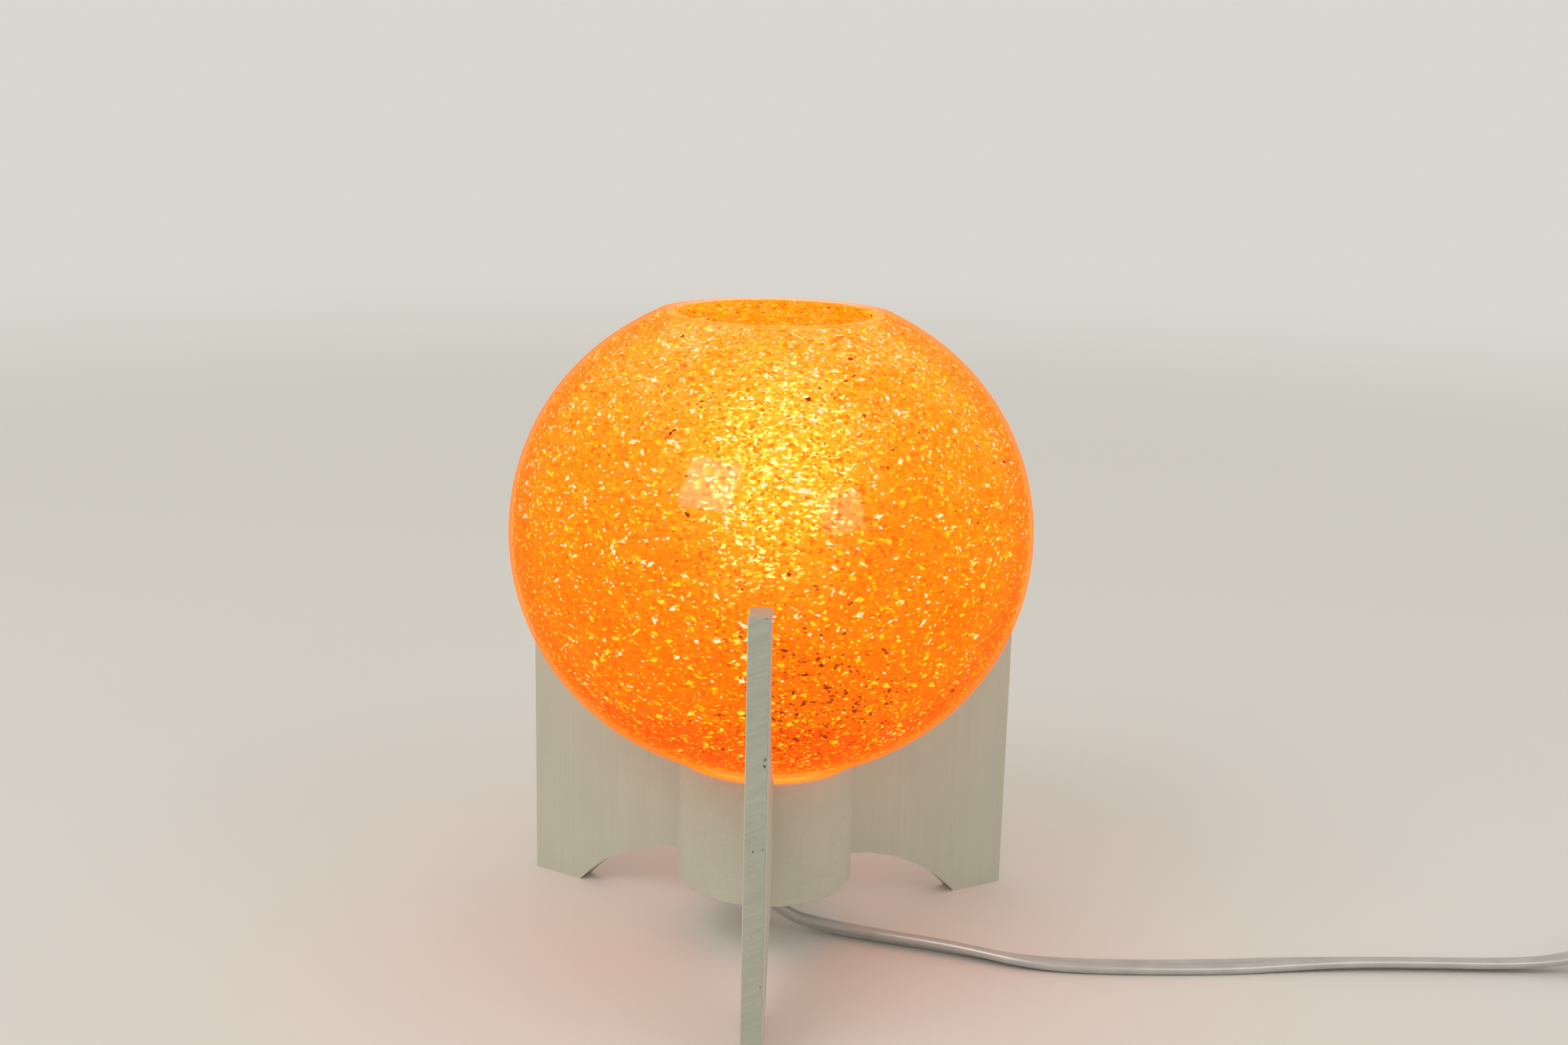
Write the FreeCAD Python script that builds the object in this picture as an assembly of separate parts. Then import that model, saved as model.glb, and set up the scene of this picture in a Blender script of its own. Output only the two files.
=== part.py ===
import FreeCAD, Part
import math
import os

from FreeCAD import Vector

# A small table lamp: a lit orange globe of crushed acrylic sits on a painted cylinder,
# which three painted plywood fins hold clear of the table like the fins of a rocket.
# Millimetres. Z is up, the table is z = 0, the lamp's axis is x = y = 0, and the front fin points to -Y.

# Globe shade: a ball flattened a little, its crown and side arcs tangent, cut level at both ends
globe_radius = 76.0
globe_half_height = 71.2
collar_height = 1.6         # straight part between the cylinder and the globe's curve
skin_thickness = 1.2
granule_thickness = 1.8
bond_gap = 0.05
mouth_radius = 33.2
collar_radius = 26.0
collar_wall = 1.4
granule_hem = 2.4           # how far above the cylinder the granules stop

# Cylinder that carries the fins, the socket and the globe
base_radius = 26.3
base_bottom = 18.8
base_top = 57.2
base_wall = 5.3
base_edge_round = 0.6
spigot_height = 2.5
spigot_clearance = 0.3

# Fins
fin_count = 3
fin_thickness = 6.0
fin_past_globe = 10.0       # from the globe's side out to a fin's outer edge
fin_top_drop = 1.2          # from the globe's middle down to the fins' tops
fin_globe_gap = 0.4
foot_length = 18.0
arch_crown_inset = 4.3      # from the cylinder's side in to where the arch is level
arch_crown_rise = 1.9       # from the cylinder's foot up to the arch there
groove_depth = 1.5
fin_edge_round = 0.5

# Screws that draw the fins into their grooves, driven from inside the cylinder
fin_screw_insets = [11.2, 6.2]  # above the cylinder's foot, and below its top
fin_screw_radius = 1.4
fin_screw_length = 16.0
fin_screw_head_radius = 2.7
fin_screw_head_height = 1.7
fin_screw_head_sink = 0.3
driver_reach = 3.0          # how far the screw's hole is drawn into the cylinder's bore

# Discs inside the cylinder
closing_disc_recess = 1.5
closing_disc_thickness = 6.0
mount_disc_depth = 11.2     # below the cylinder's top
mount_disc_thickness = 8.0

# Bushing where the cord leaves
bushing_radius = 5.0
bushing_flange_radius = 7.5
bushing_flange_thickness = 1.3
bushing_tail = 1.0
bushing_clearance = 0.15

# Threaded nipple with its washers and nuts
nipple_radius = 4.85
nipple_bore = 3.6
nipple_clearance = 0.1
nipple_below_nut = 0.8
washer_radius = 10.0
washer_thickness = 1.5
nut_across_flats = 14.0
nut_height = 4.0
nipple_in_cap = 8.0

# Lamp socket
cap_hub_radius = 8.0
cap_hub_height = 5.0
cap_bell_share = 0.35       # height of the bell's middle between its ends
cap_straight = 7.0          # cylindrical part of the cap below its rim
cap_wall = 0.8
cap_height = 22.0
shell_radius = 18.0
shell_wall = 0.6
shell_height = 41.0
shell_lip = 1.6
shell_overlap = 4.0
liner_wall = 0.8
liner_gap = 0.15
block_radius = 15.3
block_height = 14.0
block_in_cap = 14.0         # from the cap's foot to the block's
block_flange_thickness = 2.0
block_flange_gap = 0.2
screw_shell_wall = 0.45
screw_shell_height = 23.0
terminal_flat = 12.8
terminal_screw_radius = 1.5
terminal_head_radius = 2.5
terminal_head_height = 1.6
terminal_screw_length = 5.0
terminal_height = 6.0
terminal_flat_height = 10.0
cap_set_screw_radius = 1.5
cap_set_screw_out = 1.5
screw_slot_width = 0.6
screw_slot_depth = 0.5
contact_thickness = 0.6
contact_rise = 2.0
contact_width = 5.0
contact_foot_out = 8.0      # how far the contact's foot runs off the axis
contact_tongue = 7.0
contact_bend = 2.0          # from the axis to the contact's upright part

# Bulb with a medium screw cap
bulb_radius = 23.8
bulb_length = 88.9
bulb_wall = 0.8
bulb_neck_radius = 12.0
bulb_neck_in_cap = 8.0
bulb_neck_out = 1.0         # straight neck above the cap
bulb_shoulder_angle = 28.0  # below the envelope's middle, where its ball begins
bulb_cap_radius = 13.1
bulb_cap_wall = 0.3
bulb_cap_length = 20.0
bulb_cap_rim_below = 1.2
bulb_cap_rim_above = 0.6
bulb_insulator_height = 4.5
bulb_contact_radius = 4.8
bulb_contact_height = 1.4
bulb_insulator_step = 0.6
bulb_tip_gap = 0.3
bulb_thread_pitch = 3.63
bulb_thread_depth = 0.6
bulb_running_clearance = 0.1
stem_radius = 4.0
stem_wall = 1.0
stem_flare_radius = 10.5
stem_flare_height = 9.0
stem_height = 32.0
stem_pinch_height = 8.0     # its top, pressed flat round the wires
stem_pinch_radius = 2.0
support_wire_radius = 0.3
support_wire_spread = 1.4
support_wire_sunk = 1.0
filament_radius = 0.5
filament_span = 16.0
filament_rise = 12.0        # above the stem
filament_bow = 2.5

# Flat twin cord, by its width
cord_width = 6.2
cord_lift = 0.05
lead_radius = 1.0
lead_spread = 1.6
lead_clearance = 0.1
inner_cord_out = 0.6        # past the nipple, where its two conductors part

# Switch on the cord
switch_length = 56.0
switch_width = 22.0
switch_split = 6.2
switch_height = 13.0
switch_wall = 2.0
switch_corner = 5.0
switch_edge = 1.2
switch_cable_clearance = 0.1
switch_clamp_length = 8.0   # how far the cord reaches into the switch
rocker_radius = 9.0         # its ends are round about its pivot
rocker_width = 8.0
rocker_clearance = 0.4
rocker_corner_angle = 27.0
rocker_foot_angle = 6.0
rocker_dip = 1.2
rocker_depth = 3.5
rocker_keel = 5.2
rocker_tilt = 9.0
pivot_below_top = 2.6
pivot_radius = 1.5
pivot_clearance = 0.05
pivot_length = 2.0
ear_width = 6.4
ear_below_pin = 1.6
ear_end_wall = 0.4
switch_screw_radius = 1.2
switch_screw_head_radius = 2.2
switch_screw_head_height = 1.4
switch_screw_inset = 4.0
switch_screw_head_thickness = 1.0
switch_screw_tip_gap = 1.0
switch_post_radius = 2.6
contact_plate_gap = 3.0
contact_plate_length = 12.0
contact_plate_width = 5.0
contact_plate_height = 3.0
contact_plate_thickness = 0.8

# Plug with two flat blades
plug_length = 30.0
plug_width = 24.0
plug_height = 14.0
plug_round = 4.0
relief_length = 22.0
relief_back_radius = 5.6
relief_tip_radius = 3.9
relief_in_body = 2.0
blade_length = 16.0
blade_width = 6.35
blade_thickness = 1.5
blade_spacing = 12.7
blade_in_body = 8.0

# Coil of the cord that the lamp doesn't need
coil_centre = Vector(321.4, -72.0, 0)
coil_radius = 36.0
coil_turns_across = 3
coil_layers = 2
coil_round = 3.0

# Places where the cord meets the switch and the plug
switch_centre_x = 286.0
switch_centre_y = -12.4
plug_entry = Vector(289.0, -116.0, plug_height / 2)

# Worked out from the values above
flatness = globe_half_height / globe_radius
side_arc_radius = globe_half_height * (1 + flatness) / 2
side_arc_centre = globe_radius - side_arc_radius
side_arc_angle = math.atan(2 * (1 + flatness) / (flatness * (2 + flatness)))
crown_arc_radius = side_arc_radius + side_arc_centre / math.cos(side_arc_angle)
crown_arc_drop = side_arc_centre * math.tan(side_arc_angle)
collar_curve_rise = math.sqrt(crown_arc_radius ** 2 - collar_radius ** 2) - crown_arc_drop
globe_centre = base_top + collar_height + collar_curve_rise
fin_reach = globe_radius + fin_past_globe
fin_top = globe_centre - fin_top_drop
base_bore = base_radius - base_wall
arch_crown_radius = base_radius - arch_crown_inset
arch_crown_height = base_bottom + arch_crown_rise
fin_screw_heights = [base_bottom + fin_screw_insets[0], base_top - fin_screw_insets[1]]
cord_radius = cord_width / 2
cord_rest = cord_radius + cord_lift
collar_inner = collar_radius - collar_wall
granule_outset = skin_thickness + bond_gap
granule_inset = granule_outset + granule_thickness
spigot_radius = collar_inner - spigot_clearance
closing_disc_bottom = base_bottom + closing_disc_recess
closing_disc_top = closing_disc_bottom + closing_disc_thickness
mount_disc_top = base_top - mount_disc_depth
mount_disc_bottom = mount_disc_top - mount_disc_thickness
lower_nut_bottom = mount_disc_bottom - washer_thickness - nut_height
nipple_bottom = lower_nut_bottom - nipple_below_nut
upper_nut_bottom = mount_disc_top + washer_thickness
cap_bottom = upper_nut_bottom + nut_height
nipple_top = cap_bottom + nipple_in_cap
cap_top = cap_bottom + cap_height
shell_bottom = cap_top - shell_overlap
shell_top = shell_bottom + shell_height
cap_radius = shell_radius + cap_wall
liner_radius = shell_radius - shell_wall - liner_gap
block_bottom = cap_bottom + block_in_cap
block_top = block_bottom + block_height
screw_shell_inner = bulb_cap_radius + bulb_running_clearance
screw_shell_bottom = block_top
bulb_tip = block_top + contact_rise + bulb_tip_gap
bulb_top = bulb_tip + bulb_length
bulb_centre = bulb_top - bulb_radius
bulb_shell_bottom = bulb_tip + bulb_contact_height + bulb_insulator_height
bulb_shell_top = bulb_shell_bottom + bulb_cap_length
coil_half_width = coil_turns_across * cord_width / 2
switch_start = switch_centre_x - switch_length / 2
switch_end = switch_centre_x + switch_length / 2

node_shapes = {}


def save(name, shape):
    """Keep one sub-part under its node name."""
    node_shapes[name] = shape


def cylinder(radius, bottom, top, x=0.0, y=0.0):
    return Part.makeCylinder(radius, top - bottom, Vector(x, y, bottom))


def ring(outer, inner, bottom, top):
    return cylinder(outer, bottom, top).cut(cylinder(inner, bottom - 1, top + 1))


def revolve(edges):
    """Turn a closed profile, drawn in the XZ plane, once round the lamp's axis."""
    wire = Part.Wire(Part.__sortEdges__(edges))
    return Part.Face(wire).revolve(Vector(0, 0, 0), Vector(0, 0, 1), 360)


def revolve_points(points):
    corners = [Vector(r, 0, z) for r, z in points]
    wire = Part.makePolygon(corners + corners[:1])
    return Part.Face(wire).revolve(Vector(0, 0, 0), Vector(0, 0, 1), 360)


def line(start, end):
    return Part.LineSegment(start, end).toShape()


def arc_through(start, middle, end):
    return Part.Arc(start, middle, end).toShape()


def globe_height_at(radius, inset, upper):
    """Height of the globe's surface, moved in by inset, at a distance from the axis."""
    side = side_arc_radius - inset
    if radius > side_arc_centre + side * math.cos(side_arc_angle):
        rise = math.sqrt(side ** 2 - (radius - side_arc_centre) ** 2)
    else:
        rise = math.sqrt((crown_arc_radius - inset) ** 2 - radius ** 2) - crown_arc_drop
    return globe_centre + rise if upper else globe_centre - rise


def globe_radius_at(height, inset):
    """Distance from the axis of the globe's surface, moved in by inset, at a height."""
    side = side_arc_radius - inset
    rise = abs(height - globe_centre)
    if rise < side * math.sin(side_arc_angle):
        return side_arc_centre + math.sqrt(side ** 2 - rise ** 2)
    return math.sqrt((crown_arc_radius - inset) ** 2 - (rise + crown_arc_drop) ** 2)


def globe_outline(inset, low_point, high_point):
    """The globe's side, with what the two points take in of its lower and upper crown, on the +X side."""
    join_radius = side_arc_centre + (side_arc_radius - inset) * math.cos(side_arc_angle)
    join_rise = (side_arc_radius - inset) * math.sin(side_arc_angle)
    joins = [Vector(join_radius, 0, globe_centre + side * join_rise) for side in (-1, 1)]
    corners = [low_point] + [join for join in joins if low_point.z < join.z < high_point.z] + [high_point]
    arcs = []
    for start, end in zip(corners, corners[1:]):
        height = (start.z + end.z) / 2
        arcs.append(arc_through(start, Vector(globe_radius_at(height, inset), 0, height), end))
    return arcs


def turned(shape, degrees):
    """Copy of a shape, turned about the lamp's axis."""
    copy = shape.copy()
    copy.rotate(Vector(0, 0, 0), Vector(0, 0, 1), degrees)
    return copy


def hexagon(across_flats, bottom, top, bore):
    radius = across_flats / math.sqrt(3)
    corners = [
        Vector(radius * math.cos(math.radians(60 * i)), radius * math.sin(math.radians(60 * i)), bottom)
        for i in range(6)
    ]
    face = Part.Face(Part.makePolygon(corners + corners[:1]))
    nut = face.extrude(Vector(0, 0, top - bottom))
    return nut.cut(cylinder(bore, bottom - 1, top + 1))


# Globe shade: a clear skin with a short collar, in a lower and an upper bowl, lined with crushed granules
def seam_point(inset):
    """Where the two bowls meet, at the globe's widest height, moved in by inset."""
    return Vector(globe_radius_at(globe_centre, inset), 0, globe_centre)


def globe_skin_lower():
    low_out = Vector(collar_radius, 0, globe_height_at(collar_radius, 0, False))
    low_in = Vector(collar_inner, 0, globe_height_at(collar_inner, skin_thickness, False))
    foot_out = Vector(collar_radius, 0, base_top)
    foot_in = Vector(collar_inner, 0, base_top)
    straight = [
        line(low_in, foot_in),
        line(foot_in, foot_out),
        line(foot_out, low_out),
        line(seam_point(0), seam_point(skin_thickness)),
    ]
    outer = globe_outline(0, low_out, seam_point(0))
    inner = globe_outline(skin_thickness, low_in, seam_point(skin_thickness))
    return revolve(straight + outer + inner)


def globe_skin_upper():
    mouth_height = globe_height_at(mouth_radius, 0, True)
    high_out = Vector(mouth_radius, 0, mouth_height)
    high_in = Vector(globe_radius_at(mouth_height, skin_thickness), 0, mouth_height)
    rims = [line(high_out, high_in), line(seam_point(0), seam_point(skin_thickness))]
    outer = globe_outline(0, seam_point(0), high_out)
    inner = globe_outline(skin_thickness, seam_point(skin_thickness), high_in)
    return revolve(rims + outer + inner)


def globe_granules():
    mouth_height = globe_height_at(mouth_radius, 0, True)
    hem_height = globe_height_at(collar_radius, 0, False) + granule_hem
    low_out = Vector(globe_radius_at(hem_height, granule_outset), 0, hem_height)
    high_out = Vector(globe_radius_at(mouth_height, granule_outset), 0, mouth_height)
    low_in = Vector(globe_radius_at(hem_height, granule_inset), 0, hem_height)
    high_in = Vector(globe_radius_at(mouth_height, granule_inset), 0, mouth_height)
    rims = [line(high_out, high_in), line(low_in, low_out)]
    outer = globe_outline(granule_outset, low_out, high_out)
    inner = globe_outline(granule_inset, low_in, high_in)
    return revolve(rims + outer + inner)


# One fin in the XZ plane, pointing to +X, with its inner edge shaped to the cylinder and the globe
def fin_blank():
    root = base_radius - groove_depth
    foot_inner = fin_reach - foot_length
    crown_to_foot = foot_inner - arch_crown_radius
    arch_centre_drop = (crown_to_foot ** 2 - arch_crown_height ** 2) / (2 * arch_crown_height)
    arch_radius = arch_crown_height + arch_centre_drop

    def arch_height(distance):
        return math.sqrt(arch_radius ** 2 - (distance - arch_crown_radius) ** 2) - arch_centre_drop

    middle = (root + foot_inner) / 2
    root_low = Vector(root, 0, arch_height(root))
    arch_middle = Vector(middle, 0, arch_height(middle))
    foot_in = Vector(foot_inner, 0, 0)
    foot_out = Vector(fin_reach, 0, 0)
    top_out = Vector(fin_reach, 0, fin_top)
    cradle = -fin_globe_gap
    top_in = Vector(globe_radius_at(fin_top, cradle), 0, fin_top)
    cradle_low = Vector(base_radius, 0, globe_height_at(base_radius, cradle, False))
    shoulder_out = Vector(base_radius, 0, base_top)
    shoulder_in = Vector(root, 0, base_top)
    edges = [
        arc_through(root_low, arch_middle, foot_in),
        line(foot_in, foot_out),
        line(foot_out, top_out),
        line(top_out, top_in),
        line(cradle_low, shoulder_out),
        line(shoulder_out, shoulder_in),
        line(shoulder_in, root_low),
    ] + globe_outline(cradle, cradle_low, top_in)
    face = Part.Face(Part.Wire(Part.__sortEdges__(edges)))
    face.translate(Vector(0, -fin_thickness / 2, 0))
    return face.extrude(Vector(0, fin_thickness, 0))


def eased(fin):
    """Round the long edges of the fin's outer side and top, as sandpaper leaves them."""
    edges = [
        edge for edge in fin.Edges
        if abs(edge.BoundBox.YMax - edge.BoundBox.YMin) < 0.01
        and (edge.BoundBox.XMin > fin_reach - 0.01 or edge.BoundBox.ZMin > fin_top - 0.01)
    ]
    return fin.makeFillet(fin_edge_round, edges)


def fin_screw(height):
    """Countersunk screw along +X, its head in the cylinder's wall."""
    start = base_bore + fin_screw_head_sink
    axis = Vector(1, 0, 0)
    head = Part.makeCone(
        fin_screw_head_radius, fin_screw_radius, fin_screw_head_height, Vector(start, 0, height), axis
    )
    shank = Part.makeCylinder(fin_screw_radius, fin_screw_length, Vector(start, 0, height), axis)
    return head.fuse(shank).removeSplitter()


def fin_screw_room(height):
    """What the screw and its driver take out of the cylinder and the fin."""
    start = base_bore - driver_reach
    mouth = Part.makeCylinder(
        fin_screw_head_radius, driver_reach + fin_screw_head_sink, Vector(start, 0, height), Vector(1, 0, 0)
    )
    return fin_screw(height).fuse(mouth)


# Cylinder with the globe's spigot on top, grooves for the fins and holes for their screws
def base_cylinder(fins, rooms):
    body = ring(base_radius, base_bore, base_bottom, base_top)
    rims = [
        edge for edge in body.Edges
        if abs(edge.BoundBox.XMax - base_radius) < 0.01 and edge.BoundBox.ZLength < 0.01
    ]
    body = body.makeFillet(base_edge_round, rims)
    body = body.fuse(ring(spigot_radius, base_bore, base_top, base_top + spigot_height)).removeSplitter()
    for shape in fins + rooms:
        body = body.cut(shape)
    return body


def closing_disc():
    return ring(base_bore, bushing_radius, closing_disc_bottom, closing_disc_top)


def cord_bushing():
    flange_bottom = closing_disc_bottom - bushing_flange_thickness
    bore = cord_radius + bushing_clearance
    flange = ring(bushing_flange_radius, bore, flange_bottom, closing_disc_bottom)
    body = ring(bushing_radius, bore, flange_bottom, closing_disc_top + bushing_tail)
    return flange.fuse(body).removeSplitter()


def mount_disc():
    return ring(base_bore, nipple_radius + nipple_clearance, mount_disc_bottom, mount_disc_top)


def nipple():
    return ring(nipple_radius, nipple_bore, nipple_bottom, nipple_top)


def nipple_washers():
    bore = nipple_radius + nipple_clearance
    lower = ring(washer_radius, bore, mount_disc_bottom - washer_thickness, mount_disc_bottom)
    upper = ring(washer_radius, bore, mount_disc_top, mount_disc_top + washer_thickness)
    return Part.makeCompound([lower, upper])


def nipple_nuts():
    lower = hexagon(nut_across_flats, lower_nut_bottom, lower_nut_bottom + nut_height, nipple_radius)
    upper = hexagon(nut_across_flats, upper_nut_bottom, upper_nut_bottom + nut_height, nipple_radius)
    return Part.makeCompound([lower, upper])


# Socket: bell-shaped cap, outer shell, paper liner, moulded block, screw shell and contacts
def socket_cap():
    hub_top = cap_bottom + cap_hub_height
    bell_low = Vector(cap_hub_radius, 0, hub_top)
    bell_high = Vector(cap_radius, 0, cap_top - cap_straight)
    bell_middle = Vector(
        (cap_hub_radius + 2 * cap_radius) / 3, 0, hub_top + cap_bell_share * (bell_high.z - hub_top)
    )
    outside = [
        line(Vector(nipple_radius, 0, cap_bottom), Vector(cap_hub_radius, 0, cap_bottom)),
        line(Vector(cap_hub_radius, 0, cap_bottom), bell_low),
        arc_through(bell_low, bell_middle, bell_high),
        line(bell_high, Vector(cap_radius, 0, cap_top)),
    ]
    lift = Vector(-cap_wall, 0, 0)
    rise = Vector(-0.4 * cap_wall, 0, cap_wall)
    in_low = Vector(nipple_radius, 0, hub_top + cap_wall)
    in_corner = bell_low + rise
    in_high = bell_high + lift
    inside = [
        line(Vector(cap_radius, 0, cap_top), Vector(cap_radius, 0, cap_top) + lift),
        line(Vector(cap_radius, 0, cap_top) + lift, in_high),
        arc_through(in_high, bell_middle + 0.6 * lift + 0.6 * Vector(0, 0, cap_wall), in_corner),
        line(in_corner, in_low),
        line(in_low, Vector(nipple_radius, 0, cap_bottom)),
    ]
    return revolve(outside + inside).cut(cap_set_screw_hole())


def cap_set_screw_hole():
    length = cap_hub_radius - nipple_radius
    start = Vector(0, nipple_radius, cap_bottom + cap_hub_height / 2)
    return Part.makeCylinder(cap_set_screw_radius, length, start, Vector(0, 1, 0))


def cap_set_screw():
    """Small slotted screw through the cap's hub that locks it on the nipple."""
    seat = Vector(0, nipple_radius, cap_bottom + cap_hub_height / 2)
    length = cap_hub_radius - nipple_radius + cap_set_screw_out
    screw = Part.makeCylinder(cap_set_screw_radius, length, seat, Vector(0, 1, 0))
    slot = Part.makeBox(
        2 * cap_set_screw_radius, 2 * screw_slot_depth, screw_slot_width,
        seat + Vector(-cap_set_screw_radius, length - screw_slot_depth, -screw_slot_width / 2),
    )
    return screw.cut(slot).cut(cylinder(nipple_radius, cap_bottom, cap_top))


def socket_shell():
    wall_in = shell_radius - shell_wall
    lip_in = shell_radius - shell_lip
    points = [
        (wall_in, shell_bottom),
        (shell_radius, shell_bottom),
        (shell_radius, shell_top),
        (lip_in, shell_top),
        (lip_in, shell_top - shell_wall),
        (wall_in, shell_top - shell_wall),
    ]
    shell = revolve_points(points)
    edges = [
        edge for edge in shell.Edges
        if edge.BoundBox.ZMin > shell_top - 0.01 and edge.BoundBox.XMax > shell_radius - 0.01
    ]
    return shell.makeFillet(shell_wall * 0.8, edges)


def socket_liner():
    return ring(liner_radius, liner_radius - liner_wall, shell_bottom, shell_top - shell_wall)


def socket_block():
    flange_radius = cap_radius - cap_wall - block_flange_gap
    block = cylinder(block_radius, block_bottom, block_top)
    flange = cylinder(flange_radius, shell_bottom - block_flange_thickness, shell_bottom)
    block = block.fuse(flange).removeSplitter()
    for side in (-1, 1):
        flat = Part.makeBox(
            cap_radius, 2 * cap_radius, terminal_flat_height,
            Vector(terminal_flat if side > 0 else -terminal_flat - cap_radius, -cap_radius, block_bottom),
        )
        block = block.cut(flat)
        block = block.cut(terminal_hole(side))
    return block


def terminal_hole(side):
    start = Vector(side * (terminal_flat + 1), 0, block_bottom + terminal_height)
    return Part.makeCylinder(terminal_screw_radius, terminal_screw_length + 1, start, Vector(-side, 0, 0))


def terminal_screws():
    screws = []
    for side in (-1, 1):
        seat = Vector(side * terminal_flat, 0, block_bottom + terminal_height)
        head = Part.makeCylinder(terminal_head_radius, terminal_head_height, seat, Vector(side, 0, 0))
        slot = Part.makeBox(
            2 * screw_slot_depth, 2 * terminal_head_radius, screw_slot_width,
            seat + Vector(
                side * terminal_head_height - screw_slot_depth, -terminal_head_radius, -screw_slot_width / 2
            ),
        )
        shank = Part.makeCylinder(terminal_screw_radius, terminal_screw_length, seat, Vector(-side, 0, 0))
        screws.append(head.fuse(shank).cut(slot))
    return Part.makeCompound(screws)


def rolled_wall(radius, wall, bottom, top, pitch, depth):
    """Thin sleeve whose outline waves like a rolled thread, drawn as rings."""
    turns = max(int((top - bottom) / pitch), 1)
    step = (top - bottom) / turns
    outer = [Vector(radius, 0, bottom)]
    for i in range(turns):
        outer.append(Vector(radius - depth, 0, bottom + (i + 0.5) * step))
        outer.append(Vector(radius, 0, bottom + (i + 1) * step))
    inner = [point - Vector(wall, 0, 0) for point in outer]

    def wave(points):
        curve = Part.BSplineCurve()
        curve.interpolate(points)
        return curve.toShape()

    return revolve([
        wave(outer),
        line(outer[-1], inner[-1]),
        wave(inner),
        line(inner[0], outer[0]),
    ])


def screw_shell():
    outer = screw_shell_inner + bulb_thread_depth + screw_shell_wall
    top = screw_shell_bottom + screw_shell_height
    return rolled_wall(
        outer, screw_shell_wall, screw_shell_bottom, top, bulb_thread_pitch, bulb_thread_depth
    )


def centre_contact():
    near = -contact_width / 2
    top_height = block_top + contact_rise - contact_thickness
    foot = Part.makeBox(
        contact_foot_out + contact_bend, contact_width, contact_thickness,
        Vector(-contact_foot_out, near, block_top),
    )
    rise = Part.makeBox(
        contact_thickness, contact_width, contact_rise,
        Vector(contact_bend - contact_thickness, near, block_top),
    )
    tongue = Part.makeBox(
        contact_tongue, contact_width, contact_thickness,
        Vector(contact_bend - contact_tongue, near, top_height),
    )
    return foot.fuse(rise).fuse(tongue).removeSplitter()


# Bulb: glass envelope, screw cap, insulator, tip contact, stem and filament
def bulb_profile(inset):
    """Corner points of the envelope's outline: neck foot, neck top, where its ball begins, top."""
    radius = bulb_radius - inset
    neck = bulb_neck_radius - inset
    angle = math.radians(bulb_shoulder_angle)
    foot = Vector(neck, 0, bulb_shell_top - bulb_neck_in_cap)
    waist = Vector(neck, 0, bulb_shell_top + bulb_neck_out)
    join = Vector(radius * math.cos(angle), 0, bulb_centre - radius * math.sin(angle))
    top = Vector(0, 0, bulb_centre + radius)
    return foot, waist, join, top


def bulb_side(inset):
    foot, waist, join, top = bulb_profile(inset)
    radius = bulb_radius - inset
    angle = math.radians(bulb_shoulder_angle)
    shoulder = Part.BSplineCurve()
    tangent = Vector(math.sin(angle), 0, math.cos(angle))
    shoulder.interpolate([waist, join], Tangents=[Vector(0, 0, 1), tangent], Scale=True)
    halfway = (math.pi / 2 - angle) / 2
    on_way = Vector(radius * math.cos(halfway), 0, bulb_centre + radius * math.sin(halfway))
    return [line(foot, waist), shoulder.toShape(), arc_through(join, on_way, top)]


def bulb_glass():
    outer = bulb_profile(0)
    inner = bulb_profile(bulb_wall)
    return revolve(
        bulb_side(0) + bulb_side(bulb_wall) + [line(outer[0], inner[0]), line(outer[-1], inner[-1])]
    )


def bulb_cap():
    sleeve = rolled_wall(
        bulb_cap_radius, bulb_cap_wall, bulb_shell_bottom, bulb_shell_top,
        bulb_thread_pitch, bulb_thread_depth,
    )
    rim = ring(
        bulb_cap_radius, bulb_neck_radius,
        bulb_shell_top - bulb_cap_rim_below, bulb_shell_top + bulb_cap_rim_above,
    )
    return sleeve.fuse(rim).removeSplitter()


def bulb_insulator():
    low = bulb_tip + bulb_contact_height
    inner = bulb_cap_radius - bulb_cap_wall
    points = [
        (0, low),
        (bulb_contact_radius, low),
        (bulb_contact_radius + bulb_insulator_step, low + bulb_insulator_step),
        (inner, bulb_shell_bottom - bulb_cap_wall),
        (inner, bulb_shell_bottom),
        (0, bulb_shell_bottom),
    ]
    return revolve_points(points)


def bulb_contact():
    low = bulb_tip
    high = bulb_tip + bulb_contact_height
    points = [
        (0, low),
        (0.6 * bulb_contact_radius, low),
        (bulb_contact_radius, low + 0.6 * bulb_contact_height),
        (bulb_contact_radius, high),
        (0, high),
    ]
    return revolve_points(points)


def bulb_stem():
    foot = bulb_profile(bulb_wall)[0].z
    top = foot + stem_height
    flare_rim = bulb_neck_radius - bulb_wall
    points = [
        (stem_flare_radius, foot),
        (flare_rim, foot),
        (flare_rim, foot + stem_wall),
        (stem_radius, foot + stem_flare_height),
        (stem_radius, top - stem_pinch_height),
        (stem_pinch_radius, top),
        (0, top),
        (0, foot + stem_flare_height - stem_wall),
        (stem_radius - stem_wall, foot + stem_flare_height - stem_wall),
    ]
    return revolve_points(points)


def filament():
    """Coiled tungsten on its two support wires, drawn as one bowed wire."""
    stem_top = bulb_profile(bulb_wall)[0].z + stem_height
    level = stem_top + filament_rise
    half = filament_span / 2
    wires = []
    for side in (-1, 1):
        low = Vector(side * support_wire_spread, 0, stem_top - support_wire_sunk)
        high = Vector(side * half, 0, level)
        wires.append(Part.makeCylinder(support_wire_radius, (high - low).Length, low, high - low))
    bow = arc_through(Vector(-half, 0, level), Vector(0, 0, level + filament_bow), Vector(half, 0, level))
    start = Part.Circle(Vector(-half, 0, level), bow.tangentAt(bow.FirstParameter), filament_radius)
    coil = Part.Wire([bow]).makePipeShell([Part.Wire([start.toShape()])], True, True)
    return coil.fuse(wires[0]).fuse(wires[1]).removeSplitter()


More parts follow.
